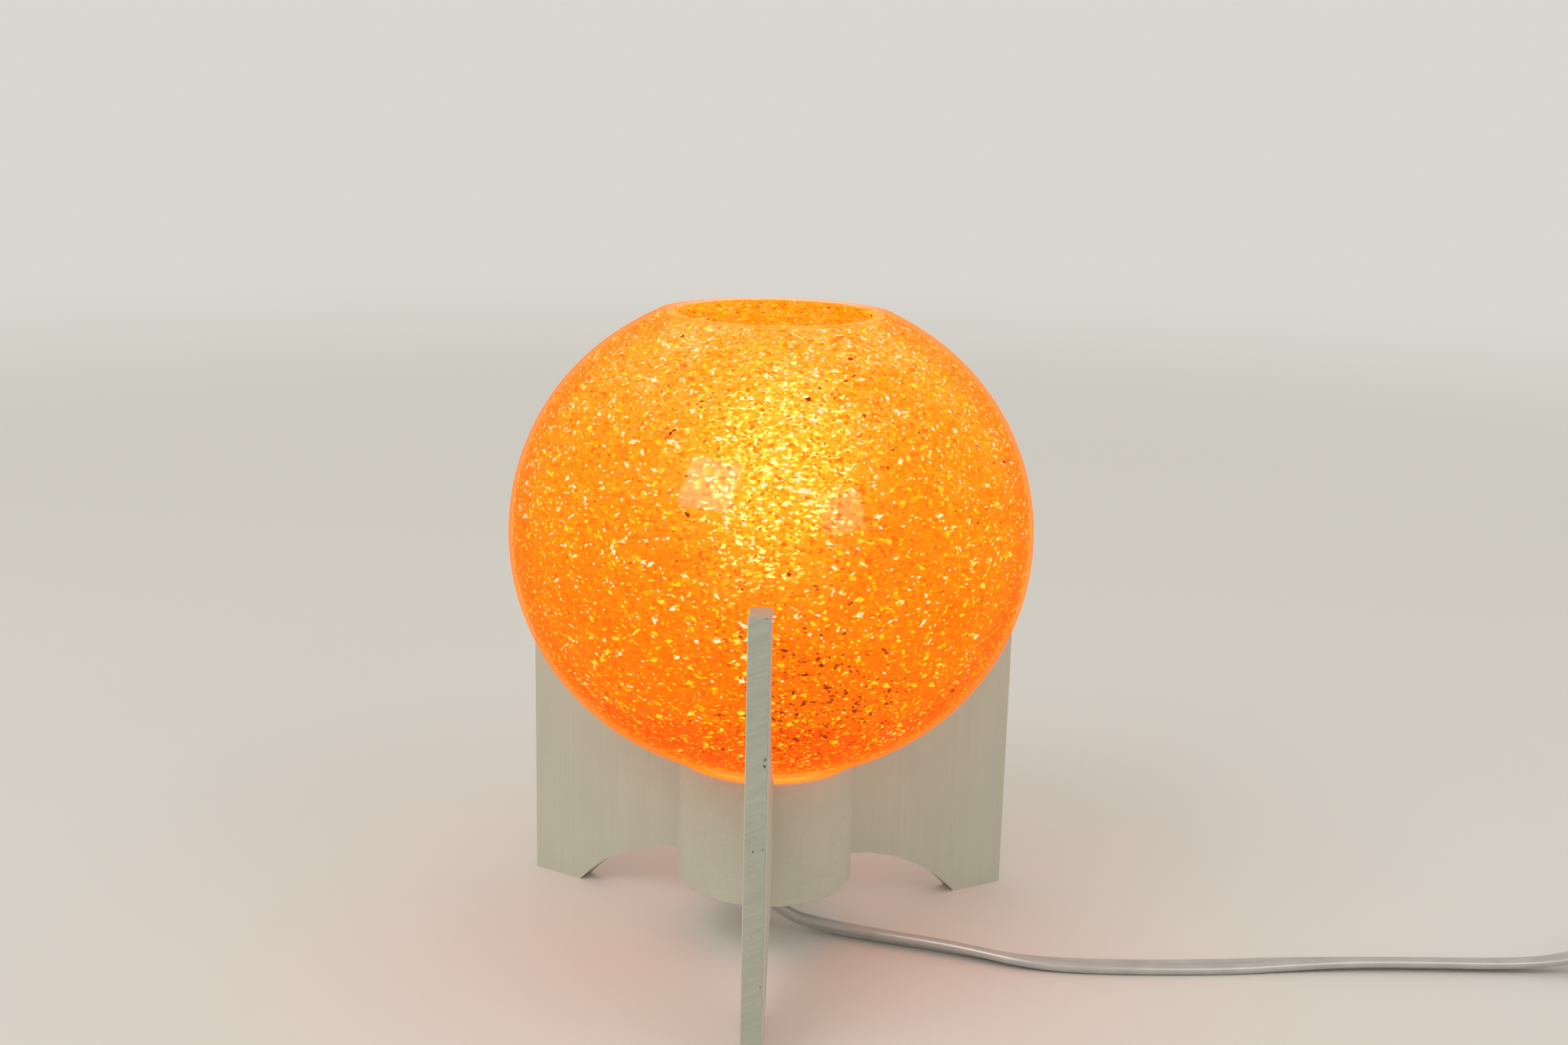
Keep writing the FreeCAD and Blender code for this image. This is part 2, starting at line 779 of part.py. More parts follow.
# Cords
def cord_path(points):
    """Straight runs joined by tangent arcs, each arc as large as its two runs allow."""
    edges = []
    radii = []
    start = points[0]
    for before, corner, after in zip(points, points[1:], points[2:]):
        back = before - corner
        ahead = after - corner
        reach = 0.45 * min(back.Length, ahead.Length)
        turn = math.pi - back.getAngle(ahead)
        radius = reach / math.tan(turn / 2)
        back.normalize()
        ahead.normalize()
        enter = corner + back * reach
        leave = corner + ahead * reach
        to_centre = (back + ahead).normalize()
        centre = corner + to_centre * (radius / math.cos(turn / 2))
        middle = centre - to_centre * radius
        edges.append(line(start, enter))
        edges.append(arc_through(enter, middle, leave))
        radii.append(radius)
        start = leave
    edges.append(line(start, points[-1]))
    return Part.Wire(edges), radii


def tube(name, points, radius):
    path, radii = cord_path(points)
    section = Part.Circle(points[0], points[1] - points[0], radius)
    solid = path.makePipeShell([Part.Wire([section.toShape()])], True, True)
    ideal = math.pi * radius ** 2 * path.Length
    print(
        f"{name}: length {path.Length:.1f}, volume {solid.Volume:.0f} of {ideal:.0f}, "
        f"radii {[round(r, 1) for r in radii]}"
    )
    return solid


# From the bushing down to the table and off to the right, as far as the switch
lamp_cord_points = [
    Vector(0.0, 0.0, closing_disc_bottom),
    Vector(0.0, 0.0, 13.4),
    Vector(3.9, 0.1, 7.1),
    Vector(11.1, -0.7, 4.2),
    Vector(20.5, -3.6, 3.3),
    Vector(33.0, -7.5, cord_rest),
    Vector(48.0, -11.6, cord_rest),
    Vector(64.0, -16.4, cord_rest),
    Vector(80.0, -21.6, cord_rest),
    Vector(104.0, -22.2, cord_rest),
    Vector(134.0, -20.0, cord_rest),
    Vector(164.0, -15.6, cord_rest),
    Vector(197.0, -13.6, cord_rest),
    Vector(226.0, -12.6, 3.3),
    Vector(switch_start - 9.0, switch_centre_y, switch_split),
    Vector(switch_start + switch_clamp_length, switch_centre_y, switch_split),
]

# From the switch round to the coil
link_cord_points = [
    Vector(switch_end - switch_clamp_length, switch_centre_y, switch_split),
    Vector(switch_end + 5.7, switch_centre_y, switch_split),
    Vector(333.4, -13.4, 4.6),
    Vector(346.8, -20.0, 3.4),
    Vector(357.2, -31.5, cord_rest),
    Vector(362.7, -47.0, cord_rest),
    Vector(363.6, -63.4, cord_rest),
]

# From the top of the coil to the plug
tail_cord_points = [
    Vector(321.4, -114.2, 9.35),
    Vector(310.5, -114.8, 8.6),
    Vector(299.9, -116.0, 7.0),
    plug_entry,
]

# From the bushing up through the nipple into the socket's cap
inner_cord_top = nipple_top + inner_cord_out


def inner_cord():
    return cylinder(cord_radius, closing_disc_bottom, inner_cord_top)


def lead_wires():
    """The cord's two conductors, from its split end to the terminal screws."""
    wires = []
    beside = terminal_flat + lead_radius + lead_clearance
    lead_end = block_bottom + terminal_height - terminal_head_radius - lead_clearance
    for side in (-1, 1):
        points = [
            Vector(side * lead_spread, 0, inner_cord_top),
            Vector(side * (lead_spread + 1.4), 0, inner_cord_top + 2.6),
            Vector(side * (beside - 2.6), 0, block_bottom - 2.7),
            Vector(side * beside, 0, block_bottom - 0.9),
            Vector(side * beside, 0.05, lead_end),
        ]
        wires.append(tube("lead", points, lead_radius))
    return Part.makeCompound(wires)


def cord_coil():
    inner = coil_radius - coil_half_width
    outer = coil_radius + coil_half_width
    top = cord_lift + coil_layers * cord_width
    body = ring(outer, inner, cord_lift, top)
    edges = [edge for edge in body.Edges if edge.BoundBox.ZLength < 0.01]
    body = body.makeFillet(coil_round, edges)
    body.translate(coil_centre)
    return body


# Switch on the cord: two halves, a rocker between them, contacts and screws
def switch_block(bottom, top, inset):
    """Round-cornered block, centred on the switch."""
    length = switch_length - 2 * inset
    width = switch_width - 2 * inset
    corner = max(switch_corner - inset, 0.5)
    box = Part.makeBox(
        length, width, top - bottom,
        Vector(switch_centre_x - length / 2, switch_centre_y - width / 2, bottom),
    )
    upright = [edge for edge in box.Edges if edge.BoundBox.ZLength > top - bottom - 0.01]
    return box.makeFillet(corner, upright)


def switch_screw_places():
    reach_x = switch_length / 2 - switch_screw_inset - switch_wall
    reach_y = switch_width / 2 - switch_screw_inset
    return [
        Vector(switch_centre_x - reach_x, switch_centre_y - reach_y, 0),
        Vector(switch_centre_x + reach_x, switch_centre_y + reach_y, 0),
    ]


def switch_cable_way():
    radius = cord_radius + switch_cable_clearance
    start = Vector(switch_centre_x - switch_length / 2 - 1, switch_centre_y, switch_split)
    return Part.makeCylinder(radius, switch_length + 2, start, Vector(1, 0, 0))


def soft_rim(shape, height):
    """Round the outer edges at one level of the switch's outside."""
    edges = [
        edge for edge in shape.Edges
        if abs(edge.BoundBox.ZMin - height) < 0.01 and abs(edge.BoundBox.ZMax - height) < 0.01
    ]
    return shape.makeFillet(switch_edge, edges)


def switch_base():
    body = soft_rim(switch_block(0, switch_split, 0), 0)
    body = body.cut(switch_block(switch_wall, switch_split + 1, switch_wall))
    for place in switch_screw_places():
        body = body.fuse(cylinder(switch_post_radius, switch_wall, switch_split, place.x, place.y))
    for place in switch_screw_places():
        body = body.cut(cylinder(switch_screw_radius, -1, switch_split + 1, place.x, place.y))
        body = body.cut(cylinder(switch_screw_head_radius, -1, switch_screw_head_height, place.x, place.y))
    return body.cut(switch_cable_way()).removeSplitter()


def rocker_window():
    length = 2 * (rocker_radius + rocker_clearance)
    width = rocker_width + 2 * rocker_clearance
    corner = Vector(
        switch_centre_x - length / 2, switch_centre_y - width / 2, switch_height - switch_wall - 1
    )
    return Part.makeBox(length, width, switch_wall + 2, corner)


def pivot_height():
    return switch_height - pivot_below_top


def pivot_cheeks():
    """Two ears under the cover that carry the rocker's pins."""
    ears = []
    thickness = pivot_length + ear_end_wall
    low = pivot_height() - pivot_radius - ear_below_pin
    for side in (-1, 1):
        inner = side * (rocker_width / 2 + rocker_clearance)
        outer = inner + side * thickness
        corner = Vector(switch_centre_x - ear_width / 2, switch_centre_y + min(inner, outer), low)
        ears.append(Part.makeBox(ear_width, thickness, switch_height - switch_wall / 2 - low, corner))
    return ears


def pivot_pin(radius, length):
    start = Vector(switch_centre_x, switch_centre_y - length / 2, pivot_height())
    return Part.makeCylinder(radius, length, start, Vector(0, 1, 0))


def switch_cover():
    body = soft_rim(switch_block(switch_split, switch_height, 0), switch_height)
    body = body.cut(switch_block(switch_split - 1, switch_height - switch_wall, switch_wall))
    for ear in pivot_cheeks():
        body = body.fuse(ear)
    for place in switch_screw_places():
        post = cylinder(switch_post_radius, switch_split, switch_height - switch_wall, place.x, place.y)
        body = body.fuse(post)
    for place in switch_screw_places():
        hole = cylinder(switch_screw_radius, switch_split - 1, switch_height - switch_wall, place.x, place.y)
        body = body.cut(hole)
    body = body.cut(rocker_window()).cut(switch_cable_way())
    pins = rocker_width + 2 * (rocker_clearance + pivot_length)
    return body.cut(pivot_pin(pivot_radius + pivot_clearance, pins)).removeSplitter()


def switch_rocker():
    pivot = pivot_height()

    def round_end(degrees):
        angle = math.radians(degrees)
        return Vector(rocker_radius * math.cos(angle), 0, rocker_radius * math.sin(angle))

    right = [round_end(rocker_corner_angle), round_end(0), round_end(-rocker_foot_angle)]
    left = [Vector(-point.x, 0, point.z) for point in right]
    dip = Vector(0, 0, right[0].z - rocker_dip)
    keel_right = Vector(rocker_keel / 2, 0, -rocker_depth)
    keel_left = Vector(-rocker_keel / 2, 0, -rocker_depth)
    edges = [
        arc_through(*right),
        line(right[2], keel_right),
        line(keel_right, keel_left),
        line(keel_left, left[2]),
        arc_through(*left),
        arc_through(left[0], dip, right[0]),
    ]
    body = Part.Face(Part.Wire(Part.__sortEdges__(edges))).extrude(Vector(0, rocker_width, 0))
    body.translate(Vector(switch_centre_x, switch_centre_y - rocker_width / 2, pivot))
    pins = rocker_width + 2 * (rocker_clearance + pivot_length) - 2 * pivot_clearance
    body = body.fuse(pivot_pin(pivot_radius, pins))
    body.rotate(Vector(switch_centre_x, switch_centre_y, pivot), Vector(0, 1, 0), rocker_tilt)
    return body.removeSplitter()


def switch_contacts():
    """Two sprung plates on the floor of the switch, one for each end of the cut conductor."""
    plates = []
    near = switch_centre_y - contact_plate_width / 2
    for side in (-1, 1):
        middle = switch_centre_x + side * (contact_plate_length + contact_plate_gap) / 2
        foot = Part.makeBox(
            contact_plate_length, contact_plate_width, contact_plate_thickness,
            Vector(middle - contact_plate_length / 2, near, switch_wall),
        )
        spike_x = middle + side * (contact_plate_length / 2 - contact_plate_thickness)
        spike = Part.makeBox(
            contact_plate_thickness, contact_plate_width, contact_plate_height,
            Vector(spike_x - contact_plate_thickness / 2, near, switch_wall),
        )
        plates.append(foot.fuse(spike).removeSplitter())
    return Part.makeCompound(plates)


def switch_screws():
    screws = []
    for place in switch_screw_places():
        top = switch_height - switch_wall - switch_screw_tip_gap
        seat = switch_screw_head_height
        head_bottom = seat - switch_screw_head_thickness
        head = cylinder(switch_screw_head_radius, head_bottom, seat, place.x, place.y)
        shank = cylinder(switch_screw_radius, seat, top, place.x, place.y)
        slot = Part.makeBox(
            2 * switch_screw_head_radius, screw_slot_width, 2 * screw_slot_depth,
            Vector(
                place.x - switch_screw_head_radius, place.y - screw_slot_width / 2,
                head_bottom - screw_slot_depth,
            ),
        )
        screws.append(head.fuse(shank).cut(slot))
    return Part.makeCompound(screws)


# Plug: moulded body with a tapered strain relief, and two blades
def plug_body():
    back = plug_entry.x - relief_length
    box = Part.makeBox(
        plug_length, plug_width, plug_height,
        Vector(back - plug_length, plug_entry.y - plug_width / 2, plug_entry.z - plug_height / 2),
    )
    long_edges = [edge for edge in box.Edges if edge.BoundBox.XLength > plug_length - 0.01]
    box = box.makeFillet(plug_round, long_edges)
    relief = Part.makeCone(
        relief_back_radius, relief_tip_radius, relief_length + relief_in_body,
        Vector(back - relief_in_body, plug_entry.y, plug_entry.z), Vector(1, 0, 0),
    )
    body = box.fuse(relief)
    for blade in plug_blade_shapes():
        body = body.cut(blade)
    return body.removeSplitter()


def plug_blade_shapes():
    face = plug_entry.x - relief_length - plug_length
    blades = []
    for side in (-1, 1):
        middle = plug_entry.y + side * blade_spacing / 2
        blade = Part.makeBox(
            blade_length + blade_in_body, blade_thickness, blade_width,
            Vector(face - blade_length, middle - blade_thickness / 2, plug_entry.z - blade_width / 2),
        )
        blades.append(blade)
    return blades


# Build every sub-part
fin_angles = [-90.0 + 360.0 / fin_count * i for i in range(fin_count)]
fin_names = ["fin_front", "fin_right", "fin_left"][:fin_count]
blank = eased(fin_blank())
screw_rooms = [fin_screw_room(height) for height in fin_screw_heights]
fins = [turned(blank, angle) for angle in fin_angles]
rooms = [turned(room, angle) for angle in fin_angles for room in screw_rooms]

save("base_cylinder", base_cylinder(fins, rooms))
for name, angle in zip(fin_names, fin_angles):
    bored = blank
    for room in screw_rooms:
        bored = bored.cut(room)
    save(name, turned(bored, angle))
save("fin_screws", Part.makeCompound(
    [turned(fin_screw(height), angle) for angle in fin_angles for height in fin_screw_heights]
))
save("closing_disc", closing_disc())
save("cord_bushing", cord_bushing())
save("mount_disc", mount_disc())
save("nipple", nipple())
save("nipple_washers", nipple_washers())
save("nipple_nuts", nipple_nuts())
save("socket_cap", socket_cap())
save("cap_set_screw", cap_set_screw())
save("socket_shell", socket_shell())
save("socket_liner", socket_liner())
save("socket_block", socket_block())
save("terminal_screws", terminal_screws())
save("screw_shell", screw_shell())
save("centre_contact", centre_contact())
save("inner_cord", inner_cord())
save("lead_wires", lead_wires())
save("globe_skin_lower", globe_skin_lower())
save("globe_skin_upper", globe_skin_upper())
save("globe_granules", globe_granules())
save("bulb_glass", bulb_glass())
save("bulb_stem", bulb_stem())
save("bulb_filament", filament())
save("bulb_cap", bulb_cap())
save("bulb_insulator", bulb_insulator())
save("bulb_contact", bulb_contact())
save("cord_from_lamp", tube("cord_from_lamp", lamp_cord_points, cord_radius))
save("switch_base", switch_base())
save("switch_cover", switch_cover())
save("switch_rocker", switch_rocker())
save("switch_contacts", switch_contacts())
save("switch_screws", switch_screws())
save("cord_to_coil", tube("cord_to_coil", link_cord_points, cord_radius))
save("cord_coil", cord_coil())
save("cord_to_plug", tube("cord_to_plug", tail_cord_points, cord_radius))
save("plug_body", plug_body())
save("plug_blades", Part.makeCompound(plug_blade_shapes()))

os.makedirs("parts", exist_ok=True)
for name, shape in node_shapes.items():
    shape.exportStep(f"parts/{name}.step")
    box = shape.BoundBox
    print(
        f"{name}: {len(shape.Solids)} solid, valid {shape.isValid()}, volume {shape.Volume:.1f}, "
        f"x {box.XMin:.1f} to {box.XMax:.1f}, y {box.YMin:.1f} to {box.YMax:.1f}, "
        f"z {box.ZMin:.1f} to {box.ZMax:.1f}"
    )
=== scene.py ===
import math

import bmesh
import bpy
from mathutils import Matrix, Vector


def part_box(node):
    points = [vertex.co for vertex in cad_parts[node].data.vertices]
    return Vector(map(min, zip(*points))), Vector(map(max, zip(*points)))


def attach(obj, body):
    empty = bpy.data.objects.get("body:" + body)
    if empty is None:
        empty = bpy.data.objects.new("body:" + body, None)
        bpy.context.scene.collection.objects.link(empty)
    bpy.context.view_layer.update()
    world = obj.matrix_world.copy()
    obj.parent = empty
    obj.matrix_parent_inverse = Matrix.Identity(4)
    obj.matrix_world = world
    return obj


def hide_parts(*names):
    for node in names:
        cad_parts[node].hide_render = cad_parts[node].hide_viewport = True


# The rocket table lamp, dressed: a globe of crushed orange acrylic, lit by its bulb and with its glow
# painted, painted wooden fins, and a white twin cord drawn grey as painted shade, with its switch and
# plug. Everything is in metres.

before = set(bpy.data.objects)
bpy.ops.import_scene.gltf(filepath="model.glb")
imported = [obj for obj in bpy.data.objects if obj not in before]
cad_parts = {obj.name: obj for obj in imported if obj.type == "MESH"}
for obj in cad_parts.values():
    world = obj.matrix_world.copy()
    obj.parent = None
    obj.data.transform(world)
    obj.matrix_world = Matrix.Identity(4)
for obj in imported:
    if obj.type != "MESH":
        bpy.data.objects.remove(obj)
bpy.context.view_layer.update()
scene = bpy.context.scene
mm = 0.001


# Helpers

def hexColor(code):
    channels = [int(code[i:i + 2], 16) / 255 for i in (1, 3, 5)]
    linear = [c / 12.92 if c <= 0.04045 else ((c + 0.055) / 1.055) ** 2.4 for c in channels]
    return (*linear, 1.0)


def addNode(tree, kind, inputs=None, stops=None, **settings):
    # inputs are sockets to link or values to set, by name or by place; stops are a ramp's colours
    node = tree.nodes.new(kind)
    for name, value in settings.items():
        setattr(node, name, value)
    for socket, value in (inputs or {}).items():
        if isinstance(value, bpy.types.NodeSocket):
            tree.links.new(value, node.inputs[socket])
        else:
            node.inputs[socket].default_value = value
    for i, (place, color) in enumerate(stops or []):
        if i > 1:
            node.color_ramp.elements.new(place)
        node.color_ramp.elements[i].position = place
        node.color_ramp.elements[i].color = hexColor(color)
    return node


def startMaterial(name):
    material = bpy.data.materials.new(name)
    material.use_nodes = True
    material.node_tree.nodes.clear()
    return material, material.node_tree


def perMetre(millimetres):
    return 1000 / millimetres     # a texture's scale from the real size of one grain


def smoothStep(low, high, value):
    t = min(max((value - low) / (high - low), 0), 1)
    return t * t * (3 - 2 * t)


def addMesh(name, vertices, faces, smooth=True):
    mesh = bpy.data.meshes.new(name)
    mesh.from_pydata([tuple(v) for v in vertices], [], faces)
    mesh.validate()
    work = bmesh.new()
    work.from_mesh(mesh)
    bmesh.ops.remove_doubles(work, verts=work.verts, dist=1e-6)
    bmesh.ops.recalc_face_normals(work, faces=work.faces)
    work.to_mesh(mesh)
    work.free()
    mesh.polygons.foreach_set("use_smooth", [smooth] * len(mesh.polygons))
    piece = bpy.data.objects.new(name, mesh)
    scene.collection.objects.link(piece)
    return piece


def lathe(name, outline, sides):
    # turns a closed outline of (radius, height) points once round the lamp's axis
    count = len(outline)
    vertices = []
    for i in range(sides):
        angle = 2 * math.pi * i / sides
        vertices += [(r * math.cos(angle), r * math.sin(angle), z) for r, z in outline]
    faces = []
    for i in range(sides):
        near, far = i * count, (i + 1) % sides * count
        for j in range(count):
            k = (j + 1) % count
            faces.append((near + j, far + j, far + k, near + k))
    return addMesh(name, vertices, faces)


def runTree(piece, tree, values):
    # runs a Geometry Nodes tree on the piece and keeps its result as a plain mesh
    modifier = piece.modifiers.new(tree.name, "NODES")
    modifier.node_group = tree
    sockets = {s.name: s.identifier for s in tree.interface.items_tree if s.item_type == "SOCKET"}
    for name, value in values.items():
        modifier[sockets[name]] = value
    bpy.context.view_layer.update()
    evaluated = piece.evaluated_get(bpy.context.evaluated_depsgraph_get())
    mesh = bpy.data.meshes.new_from_object(evaluated)
    piece.modifiers.remove(modifier)
    piece.data = mesh
    return piece


def startTree(name, sizes):
    # an empty Geometry Nodes tree with its named sizes
    tree = bpy.data.node_groups.new(name, "GeometryNodeTree")
    tree.interface.new_socket("Geometry", in_out="INPUT", socket_type="NodeSocketGeometry")
    tree.interface.new_socket("Geometry", in_out="OUTPUT", socket_type="NodeSocketGeometry")
    for label, kind in sizes.items():
        tree.interface.new_socket(label, in_out="INPUT", socket_type=kind)
    given = tree.nodes.new("NodeGroupInput").outputs
    result = tree.nodes.new("NodeGroupOutput").inputs
    return tree, given, result


# Camera, at the photograph's viewing angle

cameraView = {
    "place": (0.01512, -0.53965, 0.25886),
    "turn": (76.3958, -1.3100, 1.5374),     # degrees
    "lens": 43.714,
    "sensor": 36.0,
}


def addCamera():
    data = bpy.data.cameras.new("camera")
    data.lens = cameraView["lens"]
    data.sensor_width = cameraView["sensor"]
    data.clip_start = 0.01
    camera = bpy.data.objects.new("camera", data)
    camera.location = cameraView["place"]
    camera.rotation_euler = [math.radians(a) for a in cameraView["turn"]]
    scene.collection.objects.link(camera)
    scene.camera = camera


# Cord, a flat white twin lead

cordSizes = {
    "width": 6.2 * mm,
    "lobe": 1.55 * mm,          # radius of the cover on each of its two conductors
    "web": 0.55 * mm,           # half the thickness of the web between them
    "lobePoints": 9,
    "lobeTurn": 130.0,          # degrees that its outline runs round a lobe, each way from the side
    "rest": 3.15 * mm,          # height of the route above the table
    "straight": 0.05,           # the last stretch, in which it turns flat for the plug
    "waver": 9.0,               # degrees that it leans to and fro in the coil
    "wavers": 41.0,             # and how quickly, in radians to a metre
    "calm": (0.04, 0.1),        # metres short of the plug between which that dies away
    "lifts": (4 * mm, 6 * mm),  # heights of the route between which it leaves the table
    "exit": (0.0, 0.0, 20.3 * mm),
    "length": 1.83,
}

# From the bushing down to the table and off to the right, into the switch
lampRun = [
    (0.0, 0.0, 0.0203),
    (0.0, 0.0, 0.0134),
    (0.0039, 0.0001, 0.0071),
    (0.0111, -0.0007, 0.0042),
    (0.0205, -0.0036, 0.0033),
    (0.033, -0.0075, 0.00315),
    (0.048, -0.0116, 0.00315),
    (0.064, -0.0164, 0.00315),
    (0.08, -0.0216, 0.00315),
    (0.104, -0.0222, 0.00315),
    (0.134, -0.02, 0.00315),
    (0.164, -0.0156, 0.00315),
    (0.197, -0.0136, 0.00315),
    (0.226, -0.0126, 0.0033),
    (0.249, -0.0124, 0.0062),
    (0.266, -0.0124, 0.0062),
]

# Out of the switch and round to the coil
linkRun = [
    (0.306, -0.0124, 0.0062),
    (0.3197, -0.0124, 0.0062),
    (0.3334, -0.0134, 0.0046),
    (0.3468, -0.02, 0.0034),
    (0.3572, -0.0315, 0.00315),
    (0.3627, -0.047, 0.00315),
]

# Off the coil and into the plug
tailRun = [
    (0.3105, -0.1148, 0.0086),
    (0.2999, -0.116, 0.007),
    (0.289, -0.116, 0.007),
]

coilSizes = {
    "centre": (0.3214, -0.072),
    "radii": [42.2 * mm, 36.0 * mm, 29.8 * mm],
    "layers": [3.15 * mm, 9.35 * mm],
    "pointsPerTurn": 16,
    "shift": 0.3,               # share of a turn in which the cord moves over to the next
}

# How the flat cord is turned along its way: metres from the lamp, degrees from lying flat
cordTwist = [
    (0.0, 15), (0.03, 48), (0.062, 40), (0.11, 4), (0.15, 0), (0.2, 24), (0.245, 20), (0.275, 0),
    (0.345, 0), (0.41, 82),
]


def coilRun():
    # clockwise turns, inward along the table and back outward on top of them, ending at the front
    radii = coilSizes["radii"]
    low, high = coilSizes["layers"]
    levels = [(r, low) for r in radii] + [(r, high) for r in reversed(radii)]
    steps = coilSizes["pointsPerTurn"]
    points = []
    for i in range(len(levels) * steps + steps // 4 + 1):
        turn, step = divmod(i, steps)
        radius, height = levels[min(turn, len(levels) - 1)]
        if turn + 1 < len(levels):
            over = smoothStep(1 - coilSizes["shift"], 1, step / steps)
            radius += (levels[turn + 1][0] - radius) * over
            height += (levels[turn + 1][1] - height) * over
        angle = -2 * math.pi * i / steps
        x, y = coilSizes["centre"]
        points.append((x + radius * math.cos(angle), y + radius * math.sin(angle), height))
    return points


def splinePoints(name, points):
    curve = bpy.data.curves.new(name, "CURVE")
    curve.dimensions = "3D"
    curve.resolution_u = 10
    spline = curve.splines.new("NURBS")
    spline.points.add(len(points) - 1)
    for controlPoint, place in zip(spline.points, points):
        controlPoint.co = (*place, 1)
    spline.order_u = 3
    spline.use_endpoint_u = True
    holder = bpy.data.objects.new(name, curve)
    scene.collection.objects.link(holder)
    line = bpy.data.meshes.new_from_object(holder)
    found = [v.co.copy() for v in line.vertices]
    bpy.data.objects.remove(holder)
    return found


def twistAt(distance):
    before = cordTwist[0]
    for after in cordTwist[1:]:
        if distance < after[0]:
            share = smoothStep(before[0], after[0], distance)
            return math.radians(before[1] + (after[1] - before[1]) * share)
        before = after
    return math.radians(before[1])


def laidCord(route):
    # the centreline of the flat cord, lowered on to the table where it lies flat, with its twist
    total = sum((b - a).length for a, b in zip(route, route[1:]))
    path, twists, distance = [], [], 0.0
    for i, point in enumerate(route):
        if i:
            distance += (point - route[i - 1]).length
        twist = twistAt(distance)
        twist *= 1 - smoothStep(cordSizes["straight"], 0.0, total - distance)
        if distance > cordTwist[-1][0]:
            waver = math.radians(cordSizes["waver"]) * math.sin(distance * cordSizes["wavers"])
            twist += waver * smoothStep(*cordSizes["calm"], total - distance)
        height = cordSizes["lobe"] * (1 + abs(math.sin(twist)))
        onTable = 1 - smoothStep(*cordSizes["lifts"], point.z)
        path.append(point - Vector((0, 0, (cordSizes["rest"] - height) * onTable)))
        twists.append(twist)
    return path, twists


def cordOutline():
    # two round lobes side by side, joined by a thin web
    lobe, count = cordSizes["lobe"], cordSizes["lobePoints"]
    outline = []
    for side in (1, -1):
        for i in range(count):
            angle = math.radians(cordSizes["lobeTurn"] * (2 * i / (count - 1) - 1))
            outline.append((side * (lobe + lobe * math.cos(angle)), side * lobe * math.sin(angle)))
        outline.append((0, side * cordSizes["web"]))
    return outline


def sweep(name, path, twists, outline):
    # each point's level side; where the cord runs nearly upright, the next point's serves
    sides = []
    for i in range(len(path)):
        ahead = path[min(i + 1, len(path) - 1)] - path[max(i - 1, 0)]
        level = Vector((ahead.y, -ahead.x, 0))
        sides.append(level.normalized() if level.length > 0.2 * ahead.length else None)
    for i in reversed(range(len(sides))):
        sides[i] = sides[i] or sides[i + 1]
    vertices, faces = [], []
    count = len(outline)
    for i, point in enumerate(path):
        ahead = (path[min(i + 1, len(path) - 1)] - path[max(i - 1, 0)]).normalized()
        side = (sides[i] - ahead * sides[i].dot(ahead)).normalized()
        rise = side.cross(ahead)
        c, s = math.cos(twists[i]), math.sin(twists[i])
        vertices += [point + side * (u * c - v * s) + rise * (u * s + v * c) for u, v in outline]
    for i in range(len(path) - 1):
        for j in range(count):
            k = (j + 1) % count
            faces.append((i * count + j, i * count + k, (i + 1) * count + k, (i + 1) * count + j))
    faces.append(tuple(reversed(range(count))))
    faces.append(tuple(range((len(path) - 1) * count, len(path) * count)))
    return addMesh(name, vertices, faces)


def makeCord():
    route = splinePoints("cord_route", lampRun + linkRun + coilRun() + tailRun)
    path, twists = laidCord(route)
    piece = sweep("cord", path, twists, cordOutline())
    piece.data.materials.append(cordVinyl())
    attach(piece, "root")
    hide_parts("cord_from_lamp", "cord_to_coil", "cord_coil", "cord_to_plug")
    length = sum((b - a).length for a, b in zip(path, path[1:]))
    print("cord:", len(path), "points,", round(length, 3), "m")


# Globe: clear skin, crushed lining, and loose grains on both sides of it

globeSizes = {
    "radius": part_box("globe_skin_lower")[1].x,
    "halfHeight": 71.2 * mm,
    "skin": 1.2 * mm,
    "collarRadius": 26.0 * mm,
    "collarWall": 1.4 * mm,
    "foot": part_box("globe_skin_lower")[0].z,
    "mouth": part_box("globe_skin_upper")[1].z,
    "mouthRadius": 33.2 * mm,
    "lip": 0.45 * mm,           # roundness of the mouth's edge
    "lipSteps": 6,
    "liningOut": 1.38 * mm,     # how deep the lining's two sides lie under the skin's
    "liningIn": 2.2 * mm,
    "liningTop": 0.2 * mm,      # how far below the mouth it ends
    "hem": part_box("globe_granules")[0].z,
    "sides": 256,
    "arcPoints": 40,
}


def ovalArcs():
    # the flattened ball's two arcs: the side's radius and centre, the angle at which they join,
    # and the crown's radius and how far its centre lies past the middle
    flat = globeSizes["halfHeight"] / globeSizes["radius"]
    side = globeSizes["halfHeight"] * (1 + flat) / 2
    centre = globeSizes["radius"] - side
    angle = math.atan(2 * (1 + flat) / (flat * (2 + flat)))
    return side, centre, angle, side + centre / math.cos(angle), centre * math.tan(angle)


def globeMiddle():
    side, centre, angle, crown, drop = ovalArcs()
    return globeSizes["mouth"] + drop - math.sqrt(crown ** 2 - globeSizes["mouthRadius"] ** 2)


def ovalPoints(inset, low, high):
    # (radius, height) points of the ball's outline, moved in by inset, between two heights
    side, centre, angle, crown, drop = ovalArcs()
    middle = globeMiddle()
    bottom = -math.asin((middle - low + drop) / (crown - inset))
    top = math.asin((high - middle + drop) / (crown - inset))
    points = []
    for i in range(globeSizes["arcPoints"] * 2 + 1):
        a = bottom + (top - bottom) * i / (globeSizes["arcPoints"] * 2)
        if abs(a) < angle:
            radius, out, up = side - inset, centre, middle
        else:
            radius, out, up = crown - inset, 0, middle - math.copysign(drop, a)
        points.append((out + radius * math.cos(a), up + radius * math.sin(a)))
    return points


